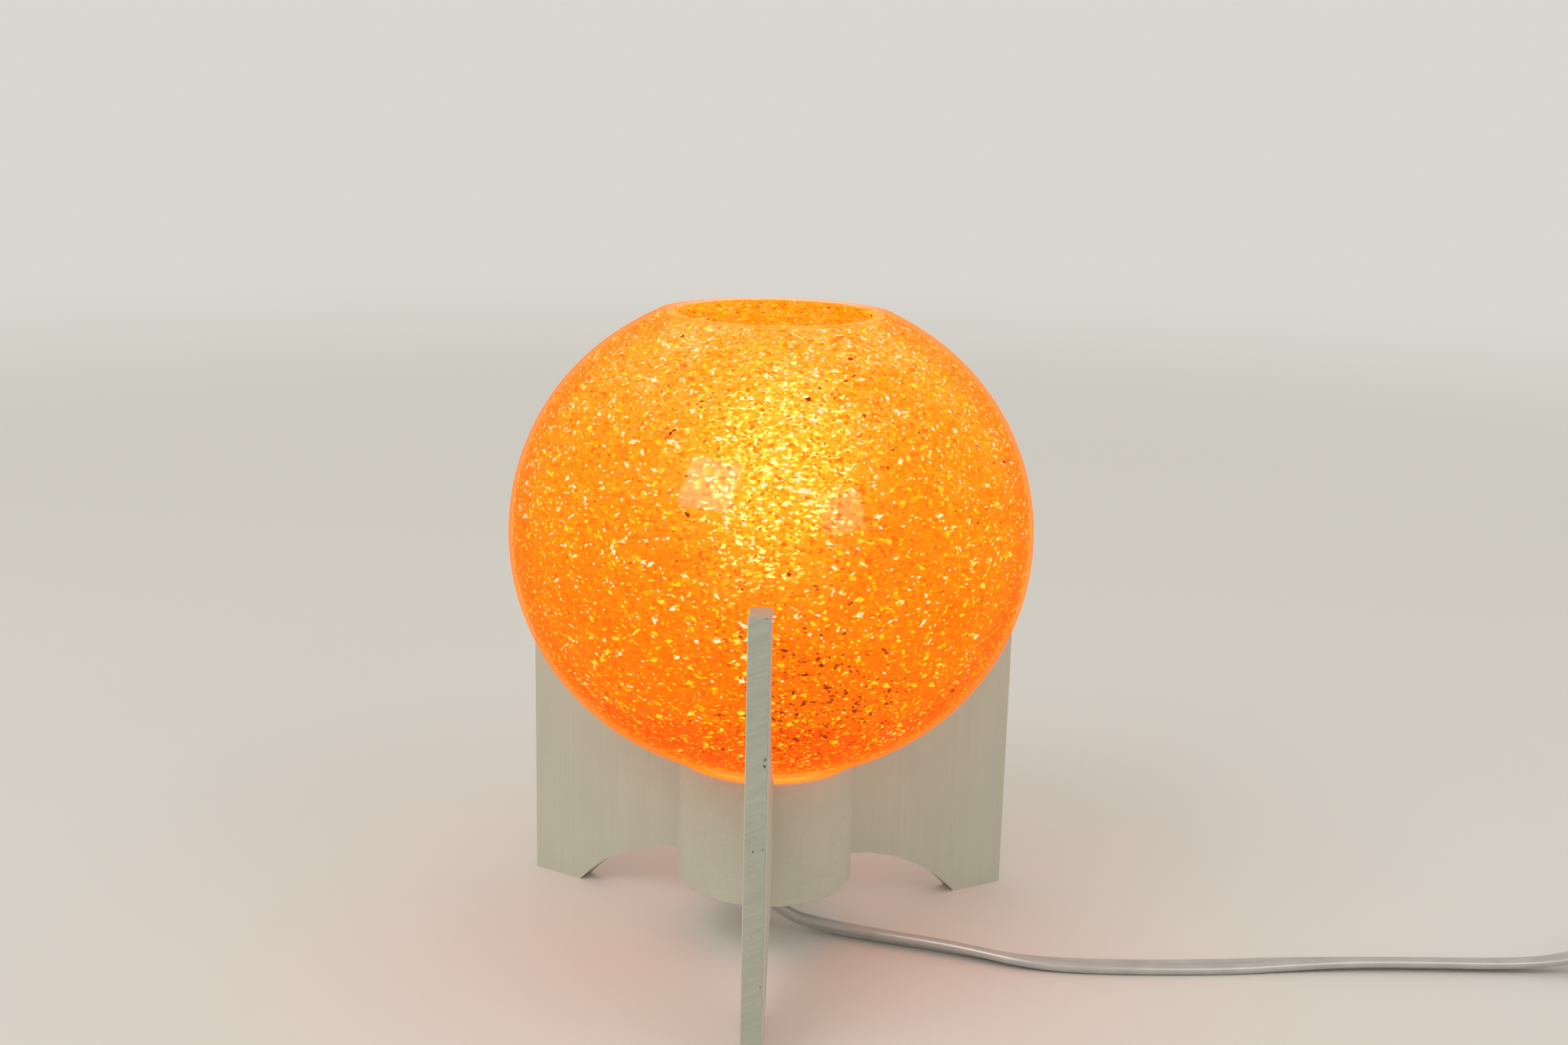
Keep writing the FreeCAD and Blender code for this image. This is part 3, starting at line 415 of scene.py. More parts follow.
def makeSkin():
    sizes = globeSizes
    collarIn = sizes["collarRadius"] - sizes["collarWall"]
    _, _, _, crown, drop = ovalArcs()
    lowOut = globeMiddle() + drop - math.sqrt(crown ** 2 - sizes["collarRadius"] ** 2)
    lowIn = globeMiddle() + drop - math.sqrt((crown - sizes["skin"]) ** 2 - collarIn ** 2)
    outer = ovalPoints(0, lowOut, sizes["mouth"] - sizes["lip"])
    inner = ovalPoints(sizes["skin"], lowIn, sizes["mouth"] - sizes["lip"])
    middle = (outer[-1][0] + inner[-1][0]) / 2
    half = (outer[-1][0] - inner[-1][0]) / 2
    lip = []
    for i in range(1, sizes["lipSteps"]):
        angle = math.pi * i / sizes["lipSteps"]
        height = sizes["mouth"] - sizes["lip"] * (1 - math.sin(angle))
        lip.append((middle + half * math.cos(angle), height))
    foot = [(collarIn, sizes["foot"]), (sizes["collarRadius"], sizes["foot"])]
    piece = lathe("globe_clear_skin", outer + lip + inner[::-1] + foot, sizes["sides"])
    piece.data.materials.append(clearAcrylic())
    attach(piece, "globe")
    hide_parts("globe_skin_lower", "globe_skin_upper")
    print("skin:", len(piece.data.polygons), "faces")


def makeLining():
    sizes = globeSizes
    top = sizes["mouth"] - sizes["liningTop"]
    outer = ovalPoints(sizes["liningOut"], sizes["hem"], top)
    inner = ovalPoints(sizes["liningIn"], sizes["hem"], top)
    piece = lathe("globe_crushed_lining", outer + inner[::-1], sizes["sides"])
    piece.data.materials.append(crushedAcrylic())
    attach(piece, "globe")
    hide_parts("globe_granules")
    print("lining:", len(piece.data.polygons), "faces")


# Each layer of loose grains: how deep it lies, how many to a square metre, and half their sizes
grainLayers = {
    "globe_grains": {
        "Inset": 1.33 * mm, "Density": 400000.0, "Seed": 7,
        "Shortest": (0.30 * mm, 0.17 * mm, 0.10 * mm), "Longest": (0.85 * mm, 0.48 * mm, 0.20 * mm)},
    "globe_flakes": {
        "Inset": 1.33 * mm, "Density": 110000.0, "Seed": 34,
        "Shortest": (0.50 * mm, 0.32 * mm, 0.10 * mm), "Longest": (1.65 * mm, 1.0 * mm, 0.20 * mm)},
    "globe_grains_inside": {
        "Inset": 2.35 * mm, "Density": 200000.0, "Seed": 21,
        "Shortest": (0.40 * mm, 0.22 * mm, 0.16 * mm), "Longest": (1.10 * mm, 0.60 * mm, 0.32 * mm)},
}
grainLean = {
    "Tilt": 24.0,               # degrees that a grain leans out of the surface
    "Swing": 42.0,              # degrees that its long side leaves the horizontal
}
grainBed = {
    "sides": 128,               # of the surface that they are strewn on
    "aboveHem": 0.8 * mm,
    "belowMouth": 0.9 * mm,
}


def grainTree():
    # crushed grains strewn over a surface, lying flat with their long side near the horizontal
    tree, given, result = startTree("crushed_grains", {
        "Density": "NodeSocketFloat", "Seed": "NodeSocketInt", "Shortest": "NodeSocketVector",
        "Longest": "NodeSocketVector", "Tilt": "NodeSocketFloat", "Swing": "NodeSocketFloat",
        "Material": "NodeSocketMaterial"})
    strewn = addNode(tree, "GeometryNodeDistributePointsOnFaces", {
        "Mesh": given["Geometry"], "Density": given["Density"], "Seed": given["Seed"]})
    level = addNode(tree, "ShaderNodeVectorMath", {0: (0, 0, 1), 1: strewn.outputs["Normal"]},
                    operation="CROSS_PRODUCT")
    facing = addNode(tree, "FunctionNodeAlignRotationToVector", {
        "Vector": strewn.outputs["Normal"]}, axis="Z")
    along = addNode(tree, "FunctionNodeAlignRotationToVector", {
        "Rotation": facing.outputs["Rotation"], "Vector": level.outputs["Vector"]},
        axis="X", pivot_axis="Z")
    lean = addNode(tree, "ShaderNodeCombineXYZ", {
        "X": given["Tilt"], "Y": given["Tilt"], "Z": given["Swing"]}).outputs["Vector"]
    most = addNode(tree, "ShaderNodeVectorMath", {0: lean, 1: (math.pi / 180,) * 3},
                   operation="MULTIPLY")
    least = addNode(tree, "ShaderNodeVectorMath", {0: most.outputs["Vector"], 1: (-1, -1, -1)},
                    operation="MULTIPLY")
    chance = addNode(tree, "FunctionNodeRandomValue", {
        "Min": least.outputs["Vector"], "Max": most.outputs["Vector"], "Seed": given["Seed"]},
        data_type="FLOAT_VECTOR")
    byChance = addNode(tree, "FunctionNodeEulerToRotation", {"Euler": chance.outputs["Value"]})
    turned = addNode(tree, "FunctionNodeRotateRotation", {
        "Rotation": along.outputs["Rotation"], "Rotate By": byChance.outputs["Rotation"]},
        rotation_space="LOCAL")
    sizeSeed = addNode(tree, "FunctionNodeRandomValue", {"Seed": given["Seed"]}, data_type="INT")
    size = addNode(tree, "FunctionNodeRandomValue", {
        "Min": given["Shortest"], "Max": given["Longest"], "Seed": sizeSeed.outputs[2]},
        data_type="FLOAT_VECTOR")
    grain = addNode(tree, "GeometryNodeMeshUVSphere", {"Segments": 4, "Rings": 2, "Radius": 1.0})
    placed = addNode(tree, "GeometryNodeInstanceOnPoints", {
        "Points": strewn.outputs["Points"], "Instance": grain.outputs["Mesh"],
        "Rotation": turned.outputs["Rotation"], "Scale": size.outputs["Value"]})
    luck = addNode(tree, "FunctionNodeRandomValue", {"Seed": 5}, data_type="FLOAT")
    marked = addNode(tree, "GeometryNodeStoreNamedAttribute", {
        "Geometry": placed.outputs["Instances"], "Name": "grainLuck", "Value": luck.outputs[1]},
        data_type="FLOAT", domain="INSTANCE")
    real = addNode(tree, "GeometryNodeRealizeInstances", {"Geometry": marked.outputs["Geometry"]})
    flat = addNode(tree, "GeometryNodeSetShadeSmooth", {
        "Geometry": real.outputs["Geometry"], "Shade Smooth": False})
    dressed = addNode(tree, "GeometryNodeSetMaterial", {
        "Geometry": flat.outputs["Geometry"], "Material": given["Material"]})
    tree.links.new(dressed.outputs["Geometry"], result["Geometry"])
    return tree


def makeGrains():
    tree = grainTree()
    outside = looseGrains("crushed acrylic grains, lit", 0.0)
    inside = looseGrains("crushed acrylic grains, lit, inner side", -crushedLook["innerGrainPaintedShade"])
    low = globeSizes["hem"] + grainBed["aboveHem"]
    high = globeSizes["mouth"] - grainBed["belowMouth"]
    for name, look in grainLayers.items():
        line = ovalPoints(look["Inset"], low, high)
        sides, count = grainBed["sides"], len(line)
        vertices, faces = [], []
        for i in range(sides):
            angle = 2 * math.pi * i / sides
            vertices += [(r * math.cos(angle), r * math.sin(angle), z) for r, z in line]
            near, far = i * count, (i + 1) % sides * count
            faces += [(near + j, far + j, far + j + 1, near + j + 1) for j in range(count - 1)]
        piece = addMesh(name, vertices, faces)
        values = {label: value for label, value in look.items() if label != "Inset"}
        values["Material"] = inside if name.endswith("inside") else outside
        runTree(piece, tree, {**values, **grainLean})
        piece.data.name = name
        print(name + ":", len(piece.data.polygons), "faces")
        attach(piece, "globe")
        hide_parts("globe_granules")


# Materials

skinLook = {
    "polish": 0.045,            # how much of it shows as a polished surface; the rest is clear
    "glow": 2.4,                # painted glow that the skin gives off all over
    "collarPaintedGlow": 14.0,           # painted glow at the collar instead
    "lipPaintedGlow": 2.2,             # painted glow on top of that at the lip
    "limbPaintedGlow": 9.3,            # and painted glow where the skin is seen edge on
    "collarTop": 62 * mm,
    "lipFoot": 189.2 * mm,
    "body": "#a84a10",
    "light": "#ff7a18",
    "tints": [(0.6, "#fffaf2"), (0.98, "#ffb06c")],     # seen straight on, and edge on
}


def clearAcrylic():
    # cast acrylic, polished and faintly orange: a clear coat over the crushed lining with a thin gloss,
    # deeper in colour where it is seen edge on. It carries the bulb's light, which comes out at its two
    # edges; that light is painted as an emission, all over, stronger at the collar and the lip, and
    # where the skin is seen edge on.
    # The lining is fused to it, so nothing is bent or mirrored between the two, and it is drawn as a
    # clear film instead of thick glass
    look = skinLook
    material, tree = startMaterial("clear orange cast acrylic")
    place = addNode(tree, "ShaderNodeTexCoord").outputs["Object"]
    height = addNode(tree, "ShaderNodeSeparateXYZ", {"Vector": place}).outputs["Z"]
    # painted glow: stronger at the collar and at the lip
    collar = addNode(tree, "ShaderNodeMapRange", {
        "Value": height, "From Min": look["collarTop"], "From Max": look["collarTop"] - 2 * mm,
        "To Min": look["glow"], "To Max": look["collarPaintedGlow"]})
    lip = addNode(tree, "ShaderNodeMapRange", {
        "Value": height, "From Min": look["lipFoot"], "From Max": look["lipFoot"] + 0.4 * mm,
        "To Min": 0.0, "To Max": look["lipPaintedGlow"]})
    # painted glow where the skin is seen edge on
    turned = addNode(tree, "ShaderNodeLayerWeight", {"Blend": 0.5}).outputs["Facing"]
    limb = addNode(tree, "ShaderNodeMapRange", {
        "Value": turned, "From Min": 0.7, "From Max": 0.92, "To Min": 0.0,
        "To Max": look["limbPaintedGlow"]})
    strength = collar.outputs["Result"]
    for part in (lip, limb):
        strength = addNode(tree, "ShaderNodeMath", {0: strength, 1: part.outputs["Result"]},
                           operation="ADD").outputs["Value"]
    tint = addNode(tree, "ShaderNodeValToRGB", {"Fac": turned}, stops=look["tints"])
    shader = addNode(tree, "ShaderNodeBsdfPrincipled", {
        "Base Color": hexColor(look["body"]), "Roughness": 0.03, "IOR": 1.49,
        "Emission Color": hexColor(look["light"]), "Emission Strength": strength,
    })
    clear = addNode(tree, "ShaderNodeBsdfTransparent", {"Color": tint.outputs["Color"]})
    mixed = addNode(tree, "ShaderNodeMixShader", {
        "Fac": look["polish"], 1: clear.outputs["BSDF"], 2: shader.outputs["BSDF"]})
    addNode(tree, "ShaderNodeOutputMaterial", {"Surface": mixed.outputs["Shader"]})
    return material


crushedLook = {
    "low": 60 * mm,             # heights between which the painted glow changes
    "high": 188 * mm,
    "squat": 1.9,               # how many times wider than high its marks are
    "streak": 1.1,              # millimetres, fused grains seen edge on
    "patch": 4.5,
    "cloud": 18.0,
    "wander": 2.0,              # millimetres between the bends in the streaks
    "bend": 2.4 * mm,
    "clear": 1.9,               # millimetres, clear grains, which pass the bulb's light
    "prisms": 0.70,             # share of them that bend it, the windows included
    "windows": 0.42,            # share with a straight view of the bulb
    # strength of the painted glow
    "bright": 0.88,
    "sheer": 0.4,               # share of light that the rest of it passes, well spread
    "innerPaintedShade": 0.22,          # painted shade: how far the glow of its inner side is less yellow,
    "innerGrainPaintedShade": 0.3,      # and of the loose grains there
    "grainBright": 0.97,
    "liningPaintedGlow": (0.09, 0.9),  # place in its tones at those two heights, a painted glow that is brighter higher up
    "liningTones": [
        (0.0, "#f24c00"), (0.15, "#fa6600"), (0.35, "#fd8200"), (0.5, "#fe9604"), (0.7, "#feb010"),
        (0.85, "#ffcc38"), (1.0, "#ffe98c")],
    "grainPaintedGlow": (-0.1, 0.24),  # the same painted glow for the grains, on top of each one's luck
    "grainTones": [
        (0.0, "#ee4e00"), (0.25, "#f97200"), (0.5, "#fe9402"), (0.66, "#ffb20a"), (0.78, "#ffd21a"),
        (0.9, "#ffe630"), (0.96, "#fff258"), (1.0, "#fffbd0")],
    "scorched": "#6a1400",
    "darkCentre": (15 * mm, -66 * mm, 91 * mm),     # where the scorched grains are thickest
    "darkNear": 10 * mm,
    "darkFar": 29 * mm,
    "darkMost": 0.42,           # share of grains that are scorched there, and elsewhere
    "darkLeast": 0.012,
    "clump": 4.0,               # millimetres between their heaps
}


def paintedGlowHeight(tree, place, low, high):
    # the painted glow by height, from the collar to the mouth: brighter higher up, nearer the bulb, and
    # dimmer low down, where the socket shades it
    height = addNode(tree, "ShaderNodeSeparateXYZ", {"Vector": place}).outputs["Z"]
    return addNode(tree, "ShaderNodeMapRange", {
        "Value": height, "From Min": crushedLook["low"], "From Max": crushedLook["high"],
        "To Min": low, "To Max": high}).outputs["Result"]


def crushedAcrylic():
    # crushed acrylic fused to the skin and lit from inside, its glow painted as an emission: streaky
    # orange, painted paler towards the top, with clear grains that pass the bulb's light straight
    # through
    look = crushedLook
    material, tree = startMaterial("fused crushed orange acrylic, lit")
    place = addNode(tree, "ShaderNodeTexCoord").outputs["Object"]
    squat = addNode(tree, "ShaderNodeMapping", {
        "Vector": place, "Scale": (1, 1, look["squat"])}).outputs["Vector"]
    wander = addNode(tree, "ShaderNodeTexNoise", {
        "Vector": squat, "Scale": perMetre(look["wander"]), "Detail": 2.0})
    centred = addNode(tree, "ShaderNodeVectorMath", {0: wander.outputs["Color"], 1: (0.5, 0.5, 0.5)},
                      operation="SUBTRACT")
    moved = addNode(tree, "ShaderNodeVectorMath", {0: centred.outputs["Vector"], 3: look["bend"]},
                    operation="SCALE")
    warped = addNode(tree, "ShaderNodeVectorMath", {0: squat, 1: moved.outputs["Vector"]},
                     operation="ADD").outputs["Vector"]
    # painted shade: on its inner side the glow is lower, with fewer bright grains
    heat = paintedGlowHeight(tree, place, *look["liningPaintedGlow"])
    inward = addNode(tree, "ShaderNodeVectorMath", {
        0: place, 1: addNode(tree, "ShaderNodeTexCoord").outputs["Normal"]}, operation="DOT_PRODUCT")
    inner = addNode(tree, "ShaderNodeMath", {0: inward.outputs["Value"], 1: 0.0}, operation="LESS_THAN")
    heat = addNode(tree, "ShaderNodeMath", {0: inner.outputs["Value"], 1: -look["innerPaintedShade"], 2: heat},
                   operation="MULTIPLY_ADD").outputs["Value"]
    for grain, reach, where in ((look["streak"], 0.20, warped), (look["patch"], 0.10, squat),
                                (look["cloud"], 0.05, place)):
        noise = addNode(tree, "ShaderNodeTexNoise", {
            "Vector": where, "Scale": perMetre(grain), "Detail": 3.0, "Roughness": 0.6}).outputs["Fac"]
        shift = addNode(tree, "ShaderNodeMapRange", {
            "Value": noise, "From Min": 0.32, "From Max": 0.68, "To Min": -reach, "To Max": reach})
        heat = addNode(tree, "ShaderNodeMath", {0: heat, 1: shift.outputs["Result"]},
                       operation="ADD").outputs["Value"]
    # the painted glow: an emission standing in for the bulb's light through the lining
    color = addNode(tree, "ShaderNodeValToRGB", {"Fac": heat},
                    stops=look["liningTones"]).outputs["Color"]
    solid = addNode(tree, "ShaderNodeBsdfPrincipled", {
        "Base Color": hexColor("#8a3c06"), "Roughness": 0.6, "Specular IOR Level": 0.0,
        "Emission Color": color, "Emission Strength": look["bright"],
    })
    sheer = addNode(tree, "ShaderNodeBsdfPrincipled", {
        "Base Color": hexColor("#ffb03c"), "Roughness": 0.7, "Transmission Weight": 1.0, "IOR": 1.2,
        "Specular IOR Level": 0.05})
    fused = addNode(tree, "ShaderNodeMixShader", {
        "Fac": look["sheer"], 1: solid.outputs["BSDF"], 2: sheer.outputs["BSDF"]})
    clearCell = addNode(tree, "ShaderNodeTexVoronoi", {
        "Vector": warped, "Scale": perMetre(look["clear"])})
    clearPick = addNode(tree, "ShaderNodeSeparateColor", {"Color": clearCell.outputs["Color"]})
    edge = addNode(tree, "ShaderNodeMapRange", {
        "Value": clearCell.outputs["Distance"], "From Min": 0.5, "From Max": 0.38}).outputs["Result"]
    prism = addNode(tree, "ShaderNodeBsdfPrincipled", {
        "Base Color": hexColor("#ffd980"), "Roughness": 0.42, "Transmission Weight": 1.0,
        "IOR": 1.25})
    window = addNode(tree, "ShaderNodeBsdfTransparent", {"Color": hexColor("#fff3d6")})
    mixed = fused.outputs["Shader"]
    for share, kind in ((look["prisms"], prism), (look["windows"], window)):
        chosen = addNode(tree, "ShaderNodeMath", {0: clearPick.outputs["Blue"], 1: 1 - share},
                         operation="GREATER_THAN")
        clear = addNode(tree, "ShaderNodeMath", {0: chosen.outputs["Value"], 1: edge},
                        operation="MULTIPLY")
        mixed = addNode(tree, "ShaderNodeMixShader", {
            "Fac": clear.outputs["Value"], 1: mixed, 2: kind.outputs["BSDF"]}).outputs["Shader"]
    addNode(tree, "ShaderNodeOutputMaterial", {"Surface": mixed})
    return material


def looseGrains(name, shift):
    # crushed acrylic in single grains, half sunk in the lining: most glow orange and some yellow or
    # white, a painted glow standing in for the bulb's light through them, brighter higher up, and a few
    # are scorched dark, mainly low at the front
    look = crushedLook
    material, tree = startMaterial(name)
    place = addNode(tree, "ShaderNodeTexCoord").outputs["Object"]
    luck = addNode(tree, "ShaderNodeAttribute", attribute_name="grainLuck").outputs["Fac"]
    luckShift = paintedGlowHeight(tree, place, *(shift + heat for heat in look["grainPaintedGlow"]))
    cloud = addNode(tree, "ShaderNodeTexNoise", {
        "Vector": place, "Scale": perMetre(look["cloud"]), "Detail": 2.0})
    cloudShift = addNode(tree, "ShaderNodeMapRange", {
        "Value": cloud.outputs["Fac"], "From Min": 0.35, "From Max": 0.65, "To Min": -0.08,
        "To Max": 0.08})
    heat = luck
    for part in (luckShift, cloudShift.outputs["Result"]):
        heat = addNode(tree, "ShaderNodeMath", {0: heat, 1: part}, operation="ADD").outputs["Value"]
    color = addNode(tree, "ShaderNodeValToRGB", {"Fac": heat},
                    stops=look["grainTones"]).outputs["Color"]
    reach = addNode(tree, "ShaderNodeVectorMath", {0: place, 1: look["darkCentre"]},
                    operation="DISTANCE")
    limit = addNode(tree, "ShaderNodeMapRange", {
        "Value": reach.outputs["Value"], "From Min": look["darkNear"], "From Max": look["darkFar"],
        "To Min": look["darkMost"], "To Max": look["darkLeast"]})
    clump = addNode(tree, "ShaderNodeTexNoise", {"Vector": place, "Scale": perMetre(look["clump"])})
    heap = addNode(tree, "ShaderNodeMapRange", {
        "Value": clump.outputs["Fac"], "From Min": 0.44, "From Max": 0.56, "To Min": 0.1,
        "To Max": 1.5})
    most = addNode(tree, "ShaderNodeMath", {0: limit.outputs["Result"], 1: heap.outputs["Result"]},
                   operation="MULTIPLY")
    dark = addNode(tree, "ShaderNodeMath", {0: luck, 1: most.outputs["Value"]}, operation="LESS_THAN")
    scorched = dark.outputs["Value"]
    shade = addNode(tree, "ShaderNodeMix", {
        "Factor": scorched, 6: color, 7: hexColor(look["scorched"])}, data_type="RGBA")
    body = addNode(tree, "ShaderNodeMix", {
        "Factor": scorched, 6: hexColor("#7a3406"), 7: hexColor("#1a0300")}, data_type="RGBA")
    shader = addNode(tree, "ShaderNodeBsdfPrincipled", {
        "Base Color": body.outputs[2], "Roughness": 0.4, "Specular IOR Level": 0.05,
        "Emission Color": shade.outputs[2], "Emission Strength": look["grainBright"]})
    addNode(tree, "ShaderNodeOutputMaterial", {"Surface": shader.outputs["BSDF"]})
    return material


cordLook = {
    # painted shade: grey tones for a white cord that lies in the lamp's shade
    "tones": [(0.3, "#a8a6a0"), (0.7, "#b3b1ab")],
    "wave": 9.0,                # millimetres between its slight swellings
    "roughness": 0.34,
}


def cordVinyl():
    # extruded vinyl, white but drawn grey as painted shade: half-gloss, with a slight waviness along
    # the cord
    look = cordLook
    material, tree = startMaterial("white extruded vinyl")
    place = addNode(tree, "ShaderNodeTexCoord").outputs["Object"]
    wave = addNode(tree, "ShaderNodeTexNoise", {
        "Vector": place, "Scale": perMetre(look["wave"]), "Detail": 2.0})
    tint = addNode(tree, "ShaderNodeValToRGB", {"Fac": wave.outputs["Fac"]}, stops=look["tones"])
    bump = addNode(tree, "ShaderNodeBump", {
        "Strength": 0.15, "Distance": 0.1 * mm, "Height": wave.outputs["Fac"]})
    shader = addNode(tree, "ShaderNodeBsdfPrincipled", {
        "Base Color": tint.outputs["Color"], "Roughness": look["roughness"],
        "Normal": bump.outputs["Normal"]})
    addNode(tree, "ShaderNodeOutputMaterial", {"Surface": shader.outputs["BSDF"]})
    return material


# The small fittings: the pieces in each finish, its two near tones, its grain in millimetres and its
# roughness. Real grain is too fine to show on most of them, so it is drawn this coarse
fittingLooks = {
    # sawn and sanded: warm, pale and dull
    "bare birch plywood": {
        "pieces": ["closing_disc", "mount_disc"], "tones": ("#b58f5e", "#cda977"), "grain": 1.2,
        "roughness": 0.7, "bump": 0.4},
    # a cool bright grey, faintly mottled
    "zinc-plated steel": {
        "pieces": ["fin_screws", "nipple", "nipple_washers", "cap_set_screw", "switch_screws"],
        "tones": ("#a9aba8", "#c3c5c2"), "grain": 0.6, "roughness": 0.3, "metallic": 1.0},
    # warm yellow, with broad soft highlights
    "turned brass": {
        "pieces": ["nipple_nuts", "terminal_screws", "centre_contact", "switch_contacts"],
        "tones": ("#b08a3e", "#cfa85a"), "grain": 0.8, "roughness": 0.3, "metallic": 1.0},
    # a smoother brass, with sharper highlights
    "drawn brass": {
        "pieces": ["socket_cap", "socket_shell"], "tones": ("#b8923f", "#d2ac5c"), "grain": 3.0,
        "roughness": 0.22, "metallic": 1.0},
    # pale silver, half dull
    "rolled aluminium": {
        "pieces": ["screw_shell", "bulb_cap"], "tones": ("#b9b9b7", "#d2d2d0"), "grain": 0.8,
        "roughness": 0.3, "metallic": 1.0},
    # fibrous, with no shine
    "grey-brown card": {
        "pieces": ["socket_liner"], "tones": ("#86765e", "#a08e74"), "grain": 0.7,
        "roughness": 0.85, "bump": 0.4},
    # nearly black, with the soft gloss of the mould
    "black moulded phenolic": {
        "pieces": ["socket_block"], "tones": ("#0d0b0a", "#1c1917"), "grain": 4.0,
        "roughness": 0.25},
    # a greyer black with little shine
    "black nylon": {
        "pieces": ["cord_bushing"], "tones": ("#121212", "#242424"), "grain": 1.0,
        "roughness": 0.45},
    # hard, even and glossy, a slightly warm white, greyed a little like the cord's painted shade
    "white moulded urea plastic": {
        "pieces": ["switch_base", "switch_cover", "switch_rocker"],
        "tones": ("#cac8c1", "#cdcbc4"), "grain": 0.7, "roughness": 0.27, "spread": 0.06},
    # the same greyed white, but softer and duller
    "soft white moulded vinyl": {
        "pieces": ["plug_body"], "tones": ("#c3c1ba", "#c7c5be"), "grain": 0.5,
        "roughness": 0.42, "spread": 0.06},
    # bright and a little warm, almost without grain
    "nickel-plated brass": {
        "pieces": ["plug_blades"], "tones": ("#c2beb5", "#c9c5bc"), "grain": 0.4,
        "roughness": 0.22, "metallic": 1.0, "bump": 0.03},
    # dark grey
    "tungsten wire": {
        "pieces": ["bulb_filament"], "tones": ("#4a4642", "#6a655f"), "grain": 0.3,
        "roughness": 0.4, "metallic": 1.0},
    # dull silver, as it set
    "solder bead": {
        "pieces": ["bulb_contact"], "tones": ("#8e9092", "#acaeb0"), "grain": 0.9,
        "roughness": 0.35, "metallic": 1.0},
    # black with a sharp gloss
    "black bulb glass": {
        "pieces": ["bulb_insulator"], "tones": ("#08080a", "#141416"), "grain": 3.0,
        "roughness": 0.12},
    # pale and glossy; hidden in the frosted bulb, so it is not made see-through
    "clear lead glass": {
        "pieces": ["bulb_stem"], "tones": ("#dfe6e4", "#eef3f2"), "grain": 5.0,
        "roughness": 0.05},
}


def plainFinish(name):
    # one grain stirs the tones, the gloss and the surface alike
    look = {"metallic": 0.0, "bump": 0.1, "spread": 0.2, **fittingLooks[name]}
    low, high = look["tones"]
    material, tree = startMaterial(name)
    place = addNode(tree, "ShaderNodeTexCoord").outputs["Object"]
    noise = addNode(tree, "ShaderNodeTexNoise", {
        "Vector": place, "Scale": perMetre(look["grain"]), "Detail": 3.0})
    tint = addNode(tree, "ShaderNodeValToRGB", {"Fac": noise.outputs["Fac"]}, stops=[
        (0.3, low), (0.7, high)])
    rough = addNode(tree, "ShaderNodeMapRange", {
        "Value": noise.outputs["Fac"], "To Min": look["roughness"] * (1 - look["spread"]),
        "To Max": look["roughness"] * (1 + look["spread"])})
    relief = addNode(tree, "ShaderNodeBump", {
        "Strength": look["bump"], "Distance": 0.05 * mm, "Height": noise.outputs["Fac"]})
    shader = addNode(tree, "ShaderNodeBsdfPrincipled", {
        "Base Color": tint.outputs["Color"], "Roughness": rough.outputs["Result"],
        "Metallic": look["metallic"], "Normal": relief.outputs["Normal"]})
    addNode(tree, "ShaderNodeOutputMaterial", {"Surface": shader.outputs["BSDF"]})
    return material


bulbLook = {
    "neck": 108 * mm,           # heights between which the glow rises
    "ball": 135 * mm,
    "least": 0.25,
    "strength": 3.2,
    "glow": [(0.0, "#7a4a18"), (1.0, "#fff2cf")],
}


def bulbGlass():
    # inside-frosted glass with the lamp lit: an even warm white glow, dimmer at the neck
    look = bulbLook
    material, tree = startMaterial("frosted bulb glass, lit")
    place = addNode(tree, "ShaderNodeTexCoord").outputs["Object"]
    height = addNode(tree, "ShaderNodeSeparateXYZ", {"Vector": place}).outputs["Z"]
    fade = addNode(tree, "ShaderNodeMapRange", {
        "Value": height, "From Min": look["neck"], "From Max": look["ball"],
        "To Min": look["least"], "To Max": 1.0})
    color = addNode(tree, "ShaderNodeValToRGB", {"Fac": fade.outputs["Result"]}, stops=look["glow"])
    shader = addNode(tree, "ShaderNodeBsdfPrincipled", {
        "Base Color": hexColor("#f4efe4"), "Roughness": 0.35, "Emission Color": color.outputs["Color"],
        "Emission Strength": look["strength"]})
    addNode(tree, "ShaderNodeOutputMaterial", {"Surface": shader.outputs["BSDF"]})
    return material


paintLook = {
    "pale": "#bec0ad",
    "deep": "#b6b8a6",
    "edge": 0.76,               # painted shade: the edges are drawn this much darker
    "brush": 0.9,               # millimetres between brush marks
    "streak": 40.0,             # millimetres, their length along a fin
    "stroke": 9.0,              # and across its edge
    "slope": 65.0,              # degrees from upright at which they cross it
    "patch": 22.0,
    "hollow": "#45433a",        # bare core in a void, and the dark line along one corner
    "void": 1.3,                # millimetres, the cells that voids are picked from
    "tall": 0.65,               # their width as a share of their height
    "ragged": 0.5,              # millimetres between the bends in their outlines
    "fray": 0.91 * mm,          # and how far those stray
    "heap": 11.0,               # millimetres between groups of voids
    "low": 55 * mm,             # heights between which they get rarer
    "high": 105 * mm,
    "corner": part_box("fin_front")[1].x,
    "dab": 1.3,                 # millimetres between the dabs on the turned cylinder
    "dabPatch": 16.0,
}


